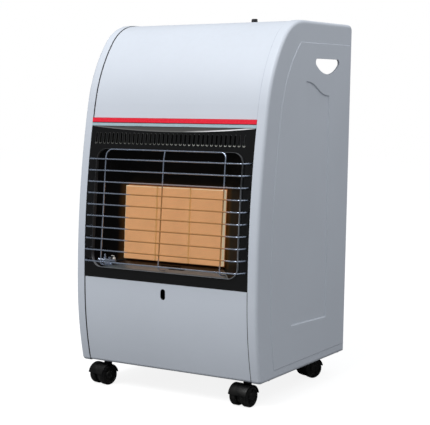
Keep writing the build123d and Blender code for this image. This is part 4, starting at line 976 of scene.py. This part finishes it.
def bevel_edges(piece: Object, wanted: Callable[..., bool], width: float, segments: int) -> None:
    """Round the wanted edges of a piece.

    Args:
        piece: The piece.
        wanted: Tells whether an edge is rounded.
        width: The rounding's width in millimetres.
        segments: How many segments it has.
    """
    with editing(piece, "EDGE") as mesh:
        pick(piece, mesh.edges, wanted)
        bpy.ops.mesh.bevel(offset=width * MM, segments=segments)


def combine(piece: Object, other: Object, operation: str) -> None:
    """Use another piece up on a piece.

    Args:
        piece: The piece that is kept.
        other: The piece that is used up.
        operation: UNION, DIFFERENCE or INTERSECT.
    """
    finish_with(piece, "BOOLEAN", object=other, operation=operation, solver="EXACT")
    bpy.data.objects.remove(other)


def copy_of(piece: Object, name: str, matrix: Matrix) -> Object:
    """A copy of a piece with its own mesh.

    Args:
        piece: The piece.
        name: The copy's name.
        matrix: Places the copy's mesh.

    Returns:
        The copy.
    """
    copy = piece.copy()
    copy.data = piece.data.copy()
    copy.name = name
    bpy.context.collection.objects.link(copy)
    copy.data.transform(matrix)
    return copy


def node_copy(node: str, name: str) -> Object:
    """A free copy of a CAD node.

    Args:
        node: The node's name.
        name: The copy's name.

    Returns:
        The copy, where the node is.
    """
    copy = copy_of(FRAME["nodes"][node], name, Matrix.Identity(4))
    copy.parent = None
    return copy


def softened_copy(node: str, name: str, width: float) -> Object:
    """A copy of a CAD node with its sharp edges rounded.

    Args:
        node: The node's name.
        name: The copy's name.
        width: The rounding's width in millimetres.

    Returns:
        The copy.
    """
    copy = node_copy(node, name)
    with editing(copy, "VERT", "SELECT"):
        bpy.ops.mesh.remove_doubles(threshold=0.002 * MM)
        bpy.ops.mesh.dissolve_limited(angle_limit=math.radians(0.5))
    finish_with(
        copy, "BEVEL", width=width * MM, segments=3, limit_method="ANGLE", angle_limit=math.radians(30.0),
        use_clamp_overlap=True, harden_normals=False,
    )
    smooth(copy)
    return copy


def join(pieces: list[Object], name: str) -> Object:
    """Make several pieces one.

    Args:
        pieces: The pieces.
        name: The joined piece's name.

    Returns:
        The joined piece.
    """
    take(pieces[0])
    for piece in pieces[1:]:
        piece.select_set(True)
    bpy.ops.object.join()
    pieces[0].name = name
    return pieces[0]


def in_mm(box: Iterable) -> tuple[Vector, Vector]:
    """The two corners of a box in metres, in millimetres."""
    low, high = (Vector(corner) / MM for corner in box)
    return low, high


def shift(x: float, y: float, z: float) -> Matrix:
    """A move in millimetres."""
    return Matrix.Translation(Vector((x, y, z)) * MM)


def turn(degrees: float, axis: Axis) -> Matrix:
    """A turn about an axis."""
    return Matrix.Rotation(math.radians(degrees), 4, axis.value)


def settle(piece: Object, finish: Finish, body: str, slot: str, *nodes: str) -> None:
    """Dress a finished piece, and say what it rides on and which CAD nodes it stands for.

    Args:
        piece: The piece.
        finish: Its finish.
        body: The CAD body that it rides on.
        slot: Not used.
        *nodes: The CAD nodes that it stands for.
    """
    piece.data.materials.clear()
    piece.data.materials.append(finish.material())
    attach(piece, body)
    if nodes:
        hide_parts(*nodes)
    log.info("%s: %d faces, rides on %s", piece.name, len(piece.data.polygons), body)


def dress(finish: Finish, *nodes: str) -> None:
    """Give CAD nodes a finish.

    Args:
        finish: The finish.
        *nodes: The nodes' names.
    """
    for node in nodes:
        mesh = FRAME["nodes"][node].data
        mesh.materials.clear()
        mesh.materials.append(finish.material())
        log.info("%s: %s", node, finish.name)


# Sub-assemblies
@dataclass
class Case:
    """The painted case, its trim, seals, vents, floor and heat shield."""

    seal_edge: float = 188.8
    seal_width: float = 1.6
    seal_rise: float = 0.5
    slab: tuple[float, float] = (900.0, 1600.0)
    vent_count: int = 35
    vent_pitch: float = 10.0
    vent_aside: float = 5.0
    vent_z: float = 497.0
    vent_half_width: float = 2.3
    vent_half_run: float = 8.5
    lip: float = 0.4
    front_centre: tuple[float, float] = (FRONT_Y / MM + 1750.0, 193.0)
    sheet_radius: float = 1748.6

    def seals(self, node: str, name: str, finish: Finish) -> None:
        """Rubber seals along a front panel, beside the side panels' flanges.

        Args:
            node: The panel's CAD node.
            name: The new piece's name.
            finish: Its finish.
        """
        strips = []
        for side in (-1, 1):
            strip = node_copy(node, f"{name}_{side}")
            middle = side * (self.seal_edge - self.seal_width / 2)
            combine(strip, block("slab", (self.seal_width, *self.slab), (middle, 0, 0)), "INTERSECT")
            finish_with(strip, "DISPLACE", strength=self.seal_rise * MM, mid_level=0.0)
            strips.append(strip)
        seals = join(strips, name)
        smooth(seals)
        settle(seals, finish, "cabinet", "black_enamel")

    def vent_lips(self) -> None:
        """A rounded lip round each vent of the fascia."""
        model = added(
            "vent_lip", bpy.ops.mesh.primitive_torus_add, rotation=(math.pi / 2, 0.0, 0.0),
            major_radius=self.vent_half_width * MM, minor_radius=self.lip * MM, major_segments=24,
            minor_segments=8,
        )
        bpy.ops.object.transform_apply(location=True, rotation=True, scale=False)
        with editing(model, "VERT") as mesh:
            for end in (-1, 1):
                pick(model, mesh.verts, lambda vertex: vertex.co.z * end > 0.001 * MM)
                bpy.ops.transform.translate(value=(0.0, 0.0, end * self.vent_half_run * MM))
        centre_y, centre_z = self.front_centre
        lean = math.asin((self.vent_z - centre_z) / self.sheet_radius)
        y = centre_y - self.sheet_radius * math.cos(lean)
        tilt = turn(-math.degrees(lean), Axis.X)
        lips = []
        for index in range(self.vent_count):
            x = self.vent_pitch * (index - (self.vent_count - 1) / 2) - self.vent_aside
            lips.append(copy_of(model, f"vent_lip_{index}", shift(x, y, self.vent_z) @ tilt))
        bpy.data.objects.remove(model)
        lips = join(lips, "vent_lips")
        smooth(lips, angle=60)
        settle(lips, VENT_EDGE, "cabinet", "black_enamel")

    def build(self) -> None:
        """Dress the case, and add its seals and the vents' lips."""
        self.seals("top_panel", "upper_seals", UPPER_SEAL_LIT_RIGHT)
        self.seals("lower_front_panel", "lower_seals", SEAL_RUBBER)
        self.vent_lips()
        dress(SILVER_PAINT, "right_side_panel", "left_side_panel", "top_panel", "lower_front_panel")
        dress(BLACK_ENAMEL, "fascia")
        dress(RED_TRIM, "red_trim_strip")
        dress(PALE_TRIM, "pale_trim_strip")
        dress(GALVANISED, "base_plate")
        dress(SOOTED_STEEL, "heat_shield")
        dress(REAR_PAINT, "rear_cover")


@dataclass
class Burners:
    """The reflector box with its plaques, housings and brackets."""

    slot_x: float = 21.0
    slot_depth: float = 19.3
    slot_size: Triple = (38.0, 9.0, 6.0)
    slot_corner: float = 4.4
    sheet: float = 0.8

    def tray(self) -> None:
        """The tray with a second slot ahead of its own."""
        tray = node_copy("reflector_tray", "slotted_tray")
        low, high = in_mm(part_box("reflector_tray"))
        lean = math.atan2(high.z - low.z - self.sheet, high.y - low.y)
        y = FRONT_Y / MM + self.slot_depth
        level = low.z + self.sheet + (y - low.y) * math.tan(lean)
        cutter = block("slot", self.slot_size, (0, 0, 0))
        bevel_edges(cutter, lambda edge: rise(edge) > 5, self.slot_corner, segments=6)
        cutter.data.transform(shift(self.slot_x, y, level) @ turn(math.degrees(lean), Axis.X))
        combine(tray, cutter, "DIFFERENCE")
        settle(tray, TRAY_STEEL, "cabinet", "tray_steel", "reflector_tray")

    def build(self) -> None:
        """Dress the burners, and cut the tray's second slot."""
        dress(REFLECTOR, "firebox")
        self.tray()
        for place in ("left", "middle", "right"):
            dress(PLAQUE, "burner_plaque_" + place)
            dress(BURNER_CASING, "burner_housing_" + place)
        dress(GALVANISED, "burner_bracket_top", "burner_bracket_bottom")


@dataclass
class Guard:
    """The welded wire guard."""

    def build(self) -> None:
        """Dress the guard."""
        dress(CHROME_WIRE, "wire_guard")


@dataclass
class GasTrain:
    """Injectors, pipes, pilot, valve, return spring and hose nozzle."""

    knob_travel: float = 5.0
    spigot_radius: float = 4.5
    bore_radius: float = 2.5
    bore_edge: float = 0.3
    neck: float = 0.6
    barb_pitch: float = 4.4
    barb: tuple[tuple[float, float], ...] = ((-0.7, 0.0), (0.0, 0.5), (-0.1, 1.2))
    tip: tuple[tuple[float, float], ...] = ((-0.7, -1.6), (-0.9, -0.4), (-1.3, 0.0))
    hex_width: float = 14.4
    hex_round: float = 0.7
    tube_start: float = -160.0
    tube_length: float = 43.0
    tube_radius: float = 2.6
    tube_bead: float = 3.2
    tube_drop: float = 5.2
    casting_round: float = 1.2

    def nozzle(self) -> None:
        """The hose nozzle: a hexagon against the valve and a spigot with ridges that hold the hose."""
        low, high = in_mm(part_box("hose_nozzle"))
        length = high.y - low.y
        collar = length / 5
        outer, bore = self.spigot_radius, self.bore_radius
        root = collar * 0.5
        profile = [(bore, root), (outer - self.neck, root)]
        reach = collar + 1.0
        while reach + self.barb_pitch < length - 0.8:
            profile += [(outer + out, reach + along) for out, along in self.barb]
            reach += self.barb_pitch
        profile += [(outer + out, length + along) for out, along in self.tip]
        profile += [(bore + self.bore_edge, length), (bore, length - self.bore_edge), (bore, root)]
        middle = (low + high) / 2
        rearward = shift(middle.x, low.y, middle.z) @ turn(-90, Axis.X)
        spigot = lathe("nozzle_spigot", profile, steps=40)
        spigot.data.transform(rearward)
        smooth(spigot)
        settle(spigot, BRASS, "cabinet", "brass", "hose_nozzle")
        nut = added(
            "nozzle_hexagon", bpy.ops.mesh.primitive_cylinder_add, vertices=6, depth=collar * MM,
            radius=self.hex_width / 2 / math.cos(math.pi / 6) * MM, location=(0.0, 0.0, collar / 2 * MM),
        )
        bpy.ops.object.transform_apply(location=True, rotation=False, scale=False)
        bevel_edges(nut, lambda edge: rise(edge) < 0.1, self.hex_round, segments=2)
        nut.data.transform(rearward)
        smooth(nut, angle=20)
        settle(nut, BRASS, "cabinet", "brass")

    def pilot_tube(self) -> None:
        """The bright tube across the pilot's foot, with a bead at each end."""
        low, high = in_mm(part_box("pilot_burner"))
        length, radius, bead = self.tube_length, self.tube_radius, self.tube_bead
        end = [(0, 0), (bead * 0.7, 0.2), (bead, 1.4), (bead, 3.0), (radius, 4.0)]
        other_end = [(reach, length - height) for reach, height in reversed(end)]
        tube = lathe("pilot_tube", end + other_end, steps=32)
        along = shift(self.tube_start, low.y - radius + 0.1, high.z - self.tube_drop) @ turn(90, Axis.Y)
        tube.data.transform(along)
        smooth(tube)
        settle(tube, PROBE_STEEL, "cabinet", "probe_steel")

    def spring(self) -> None:
        """The return spring, a fixed copy of its CAD node; the real one shortens as the knob is pushed in.
        """
        coil = node_copy("knob_return_spring", "return_coil")
        smooth(coil)
        settle(coil, SPRING_STEEL, "cabinet", "spring_steel", "knob_return_spring")
        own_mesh(coil)

    def build(self) -> None:
        """Dress the gas train and build its spring, its nozzle and the pilot's tube."""
        dress(GALVANISED, "injector_rail", "valve_bracket")
        dress(BRASS, "injector_left", "injector_middle", "injector_right")
        dress(ALUMINIUM_TUBE, "burner_pipe_left", "burner_pipe_middle", "burner_pipe_right", "pilot_pipe")
        dress(COPPER, "thermocouple_lead")
        dress(LEAD_SLEEVE, "ignition_lead")
        dress(WHITE_CERAMIC, "spark_electrode")
        dress(PROBE_STEEL, "thermocouple", "pilot_burner")
        dress(VALVE_ALLOY, "valve_plunger", "knob_spindle")
        self.spring()
        body = softened_copy("valve_body", "valve_casting", self.casting_round)
        settle(body, VALVE_ALLOY, "cabinet", "valve_alloy", "valve_body")
        self.nozzle()
        self.pilot_tube()


@dataclass
class Knob:
    """The control knob with its skirt, grip and pointer, and the printed dial under it."""

    skirt_radius: float = 20.0
    skirt_height: float = 5.0
    knurls: int = 72
    knurl_gap: float = 0.12
    knurl_depth: float = 0.35
    grip_width: float = 12.6
    grip_length: float = 35.6
    grip_foot: float = 2.5
    grip_taper: Triple = (0.92, 0.965, 1.0)
    grip_round: float = 5.6
    grip_edge: float = 1.3
    top_gap: float = 0.2
    pointer_size: Triple = (1.8, 11.0, 0.6)
    pointer_reach: float = 10.0
    pointer_sink: float = 0.15
    pointer_round: float = 0.8
    rest_turn: float = 32.0
    marks: tuple[tuple[str, float], ...] = (("0", -90.0), ("1", -20.0), ("2", 60.0), ("3", 140.0))
    mark_radius: float = 24.0
    mark_height: float = 5.0
    mark_depth: float = 0.03
    mark_lift: float = 0.04

    def _groove(self, face: bmesh.types.BMFace) -> bool:
        """Whether a face is one of every other face of the skirt's upright wall.

        Args:
            face: A face of the skirt.

        Returns:
            True for a face that becomes a groove.
        """
        middle = face.calc_center_median()
        step = math.atan2(middle.y, middle.x) / math.tau * self.knurls * 2
        upright = abs(face.normal.z) < 0.1 and face.calc_area() > MM * MM
        return upright and math.floor(step) % 2 == 0

    def skirt(self) -> Object:
        """The knurled skirt.

        Returns:
            The skirt, with its axis on Z.
        """
        radius, height = self.skirt_radius, self.skirt_height
        profile = [
            (0, 0), (radius - 0.6, 0), (radius, 0.6), (radius, height - 1.6), (radius - 0.5, height - 0.8),
            (radius - 1.6, height - 0.2), (radius - 3, height), (radius - 9, height - 0.3),
            (0, height - 0.3),
        ]
        skirt = lathe("knob_body", profile, self.knurls * 2)
        with editing(skirt) as mesh:
            pick(skirt, mesh.faces, self._groove)
            gap, depth = self.knurl_gap * MM, self.knurl_depth * MM
            bpy.ops.mesh.inset(thickness=gap, depth=-depth, use_individual=True)
        return skirt

    def knob(self) -> None:
        """The knob, a skirt with a rounded grip across it and a pointer on top."""
        low, high = in_mm(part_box("control_knob"))
        middle = (low + high) / 2
        centre = shift(middle.x, middle.y, low.z) @ turn(self.rest_turn, Axis.Z)
        knob = self.skirt()
        top, foot = high.z - low.z - self.top_gap, self.grip_foot
        grip = block("knob_grip", (self.grip_width, self.grip_length, top - foot), (0, 0, (top + foot) / 2))
        with editing(grip) as mesh:
            pick(grip, mesh.faces, lambda face: face.normal.z > 0.9)
            bpy.ops.transform.resize(value=self.grip_taper)
        bevel_edges(grip, lambda edge: rise(edge) > 2, self.grip_round, segments=8)
        level = (top - 0.01) * MM
        bevel_edges(
            grip, lambda edge: min(end.co.z for end in edge.verts) > level, self.grip_edge, segments=4
        )
        combine(knob, grip, "UNION")
        pointer = block("knob_pointer", self.pointer_size, (0, -self.pointer_reach, top - self.pointer_sink))
        bevel_edges(pointer, lambda edge: rise(edge) > 0.3, self.pointer_round, segments=4)
        for piece in (knob, pointer):
            piece.data.transform(centre)
            smooth(piece)
        settle(knob, KNOB_PLASTIC, "knob", "knob_plastic", "control_knob")
        settle(pointer, PRINT_WHITE, "knob", "knob_plastic")

    def dial(self) -> None:
        """The dial's printed numbers."""
        low, high = in_mm(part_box("dial_plate"))
        prints = []
        for label, angle in self.marks:
            text = added("print_" + label, bpy.ops.object.text_add)
            text.data.body = label
            text.data.size = self.mark_height * MM
            text.data.extrude = self.mark_depth * MM
            text.data.align_x = "CENTER"
            text.data.align_y = "CENTER"
            take(text)
            bpy.ops.object.convert(target="MESH")
            text = bpy.context.object
            around = math.radians(angle + self.rest_turn)
            reach = self.mark_radius
            text.data.transform(shift(reach * math.cos(around), reach * math.sin(around), self.mark_lift))
            prints.append(text)
        numbers = join(prints, "dial_numbers")
        middle = (low + high) / 2
        numbers.data.transform(shift(middle.x, middle.y, high.z))
        settle(numbers, PRINT_BLACK, "cabinet", "dial_plate")

    def build(self) -> None:
        """Dress the dial and build the knob."""
        dress(DIAL, "dial_plate")
        self.knob()
        self.dial()


@dataclass
class Castors:
    """Four twin-wheel castors."""

    names: tuple[str, ...] = ("front_left", "front_right", "rear_left", "rear_right")
    wheel_width: float = 15.0
    wheel_radius: float = 20.0
    wheel_steps: int = 72
    web: float = 9.0
    gap: float = 0.6
    spokes: int = 6
    spoke_steps: int = 2
    spoke_height: float = 1.1
    dish_inner: float = 9.0
    dish_outer: float = 14.0
    hood_round: float = 0.7

    def _spoke(self, face: bmesh.types.BMFace) -> bool:
        """Whether a spoke covers a face of the outer dish.

        Args:
            face: A face of the wheel.

        Returns:
            True for a face that a spoke covers.
        """
        middle = face.calc_center_median() / MM
        step = math.atan2(middle.y, middle.x) / math.tau * self.wheel_steps
        on_spoke = math.floor(step) % (self.wheel_steps // self.spokes) < self.spoke_steps
        in_dish = self.dish_inner < math.hypot(middle.x, middle.y) < self.dish_outer
        return face.normal.z > 0.7 and middle.z > self.wheel_width / 2 and in_dish and on_spoke

    def wheel(self) -> Object:
        """One wheel.

        Returns:
            The wheel with its axis on Z and its inner face at zero.
        """
        radius, width = self.wheel_radius, self.wheel_width
        profile = [
            (0, width - 1.4), (3.05, width - 1.4), (3.05, 0), (16.5, 0), (17.6, 0.3), (19.2, 1.2),
            (radius, 2.8), (radius, 5.6), (radius - 0.4, 5.9), (radius - 0.4, 6.5), (radius, 6.8),
            (radius, 8.4), (radius - 0.4, 8.7), (radius - 0.4, 9.3), (radius, 9.6),
            (radius, 12.2), (radius - 0.8, 13.8), (radius - 2.4, width - 0.2), (16.2, width),
            (15.2, width - 0.3), (14.4, width - 2.0), (8.6, width - 2.2), (7.8, width - 0.6), (7.0, width),
            (4.6, width), (4.2, width - 0.5), (0, width - 0.5),
        ]
        wheel = lathe("castor_wheel", profile, self.wheel_steps)
        with editing(wheel) as mesh:
            pick(wheel, mesh.faces, self._spoke)
            outward = {"value": (0, 0, self.spoke_height * MM)}
            bpy.ops.mesh.extrude_region_move(TRANSFORM_OT_translate=outward)
        return wheel

    def build(self) -> None:
        """Build the wheels and hoods, and dress the axles and sockets."""
        model = self.wheel()
        joints = {joint["name"]: joint for joint in FRAME["joints"]}
        offset = self.web / 2 + self.gap
        for name in self.names:
            for side, sign in (("left", -1), ("right", 1)):
                joint = joints[f"{name}_{side}_roll"]
                axis = Vector(joint["axis"]) * sign
                turned = axis.to_track_quat("Z", "Y").to_matrix().to_4x4()
                place = Matrix.Translation(Vector(joint["pos_m"]) + axis * offset * MM) @ turned
                wheel = copy_of(model, f"{name}_{side}_tyre", place)
                smooth(wheel, angle=40)
                node = f"{name}_castor_{side}_wheel"
                settle(wheel, WHEEL_PLASTIC, f"{name}_{side}_wheel", "wheel_plastic", node)
            hood = softened_copy(f"{name}_castor_hood", f"{name}_hood", self.hood_round)
            settle(hood, CASTOR_PLASTIC, f"{name}_castor", "castor_plastic", f"{name}_castor_hood")
            dress(ZINC_STEEL, f"{name}_castor_axle")
        bpy.data.objects.remove(model)
        dress(ZINC_STEEL, "castor_sockets")


@dataclass
class Screws:
    """Ten cross-recessed screws."""

    head_radius: float = 3.5
    head_height: float = 2.0
    shank_radius: float = 1.75
    dome: tuple[tuple[float, float], ...] = ((1.0, 0.35), (0.93, 0.65), (0.72, 0.9), (0.4, 1.0))
    tip_taper: float = 0.6
    thread_pitch: float = 0.8
    thread_depth: float = 0.25
    thread_end: float = 0.9
    plain_neck: float = 0.3
    recess_size: Triple = (3.6, 0.8, 2.2)
    foot_x: float = 198.8
    foot_depths: tuple[float, ...] = (60.0, 206.0, 352.0)
    foot_z: float = 48.0
    foot_length: float = 7.0
    rear_x: float = 192.8
    rear_depth: float = 391.23
    rear_z: float = 704.0
    rear_lean: float = 2.2026
    rear_length: float = 6.0
    bracket_reach: float = 20.0
    bracket_z: float = 710.1
    bracket_length: float = 2.4
    twist_start: float = 8.0
    twist_step: float = 23.0

    def screw(self, length: float) -> Object:
        """One screw, with its head up and the underside of its head at zero.

        Args:
            length: The shank's length in millimetres.

        Returns:
            The screw.
        """
        head, height, shank = self.head_radius, self.head_height, self.shank_radius
        profile = [(0, -length), (shank - self.tip_taper, -length)]
        depth = -length + self.tip_taper
        while depth < -self.thread_end:
            profile += [(shank, depth), (shank - self.thread_depth, depth + self.thread_pitch / 2)]
            depth += self.thread_pitch
        profile += [(shank, -self.plain_neck), (shank, 0), (head, 0)]
        profile += [(head * out, height * up) for out, up in self.dome]
        profile.append((0, height))
        screw = lathe("screw", profile, steps=32)
        long, wide, deep = self.recess_size
        for size in ((long, wide, deep), (wide, long, deep)):
            combine(screw, block("recess", size, (0, 0, height)), "DIFFERENCE")
        return screw

    def build(self) -> None:
        """Build the screws as one piece."""
        low, high = in_mm(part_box("dial_plate"))
        middle = (low + high) / 2
        front, down = FRONT_Y / MM, turn(180, Axis.X)
        sides, foot_x, foot_z = (-1, 1), self.foot_x, self.foot_z
        feet = [(side * foot_x, front + depth, foot_z) for side in sides for depth in self.foot_depths]
        rear = [(side * self.rear_x, front + self.rear_depth, self.rear_z) for side in sides]
        bracket = [(middle.x + side * self.bracket_reach, middle.y, self.bracket_z) for side in sides]
        made = []
        for length, turned, places in (
            (self.foot_length, down, feet),
            (self.rear_length, turn(-90 - self.rear_lean, Axis.X), rear),
            (self.bracket_length, down, bracket),
        ):
            model = self.screw(length)
            for index, place in enumerate(places):
                twist = turn(self.twist_step * index + self.twist_start, Axis.Z)
                made.append(copy_of(model, f"screw_{len(made)}", shift(*place) @ turned @ twist))
            bpy.data.objects.remove(model)
        screws = join(made, "case_screws")
        smooth(screws)
        settle(screws, ZINC_STEEL, "cabinet", "zinc_steel", "screws")


# Studio
@dataclass(frozen=True)
class Lamp:
    """A round soft lamp that is aimed at the heater."""

    name: str
    place: Triple
    size: float
    power: float


@dataclass
class Studio:
    """Camera, lamps, floor and background."""

    eye: Triple = (1.2722, FRONT_Y - 1.84724, 0.585)
    yaw: float = 31.975
    pitch: float = 5.753
    focal_pixels: float = 1184.9
    frame_width: float = 430.0
    sensor: float = 36.0
    ambient: float = 0.56
    reflected: float = 0.16
    lamps: tuple[Lamp, ...] = (
        Lamp("key_lamp", (-0.5, -2.3, 3.5), 2.4, 104.0), Lamp("side_lamp", (1.3, 0.2, 1.7), 0.9, 5.0)
    )
    aim: Triple = (0.0, 0.0, 0.35)
    sky: Colour = (0.93, 0.96, 1.0)
    floor_width: float = 14.0
    floor_grey: float = 0.16
    floor_seen_grey: float = 0.8
    floor_shine: float = 1.24
    floor_shine_share: float = 0.7

    def camera(self) -> None:
        """The camera at the photograph's place."""
        turned = (math.radians(90 - self.pitch), 0.0, math.radians(self.yaw))
        camera = added("photo_camera", bpy.ops.object.camera_add, location=self.eye, rotation=turned)
        camera.data.sensor_width = self.sensor
        camera.data.lens = self.focal_pixels / self.frame_width * self.sensor
        camera.data.clip_end = 50.0
        bpy.context.scene.camera = camera

    def light(self) -> None:
        """Soft lamps and an even surrounding, which the camera sees as plain white."""
        for lamp in self.lamps:
            data = bpy.data.lights.new(lamp.name, "AREA")
            data.shape = "DISK"
            data.size = lamp.size
            data.energy = lamp.power
            stand = bpy.data.objects.new(lamp.name, data)
            stand.location = lamp.place
            stand.visible_camera = False
            away = Vector(lamp.place) - Vector(self.aim)
            stand.rotation_euler = away.to_track_quat("Z", "Y").to_euler()
            bpy.context.collection.objects.link(stand)
        world = bpy.data.worlds.new("surroundings")
        bpy.context.scene.world = world
        net = Net.of(world)
        rays = net.add("ShaderNodeLightPath").outputs
        seen = net.math("MAXIMUM", rays["Is Camera Ray"], rays["Is Transmission Ray"])
        level = net.ramp(rays["Is Glossy Ray"], 0.0, 1.0, self.ambient, self.reflected)
        even = net.add("ShaderNodeBackground", {"Color": (*self.sky, 1.0), "Strength": level})
        white = net.add("ShaderNodeBackground", {"Color": (1.0, 1.0, 1.0, 1.0), "Strength": 1.0})
        net.blend(seen, even.outputs[0], white.outputs[0], "ShaderNodeOutputWorld")

    def floor(self) -> None:
        """A plain white floor that keeps a soft shadow."""
        floor = added("studio_floor", bpy.ops.mesh.primitive_plane_add, size=self.floor_width)
        material = bpy.data.materials.new("studio_floor")
        net = Net.of(material)
        seen = net.add("ShaderNodeLightPath").outputs["Is Camera Ray"]
        grey = net.mix(seen, (self.floor_grey,) * 3, (self.floor_seen_grey,) * 3)
        lit = net.add("ShaderNodeBsdfDiffuse", {"Color": grey})
        glow = {"Color": (1.0, 1.0, 1.0, 1.0), "Strength": self.floor_shine}
        white = net.add("ShaderNodeEmission", glow)
        share = net.times(seen, self.floor_shine_share)
        net.blend(share, lit.outputs[0], white.outputs[0], "ShaderNodeOutputMaterial")
        floor.data.materials.append(material)

    def build(self) -> None:
        """Set up the studio."""
        bpy.context.scene.view_settings.view_transform = "Standard"
        self.camera()
        self.light()
        self.floor()


def main() -> None:
    """Build the studio and each sub-assembly in turn."""
    logging.basicConfig(level=logging.INFO, format="%(message)s")
    Studio().build()
    for assembly in (Case(), Burners(), Guard(), GasTrain(), Knob(), Castors(), Screws()):
        assembly.build()


if __name__ == "__main__":
    main()
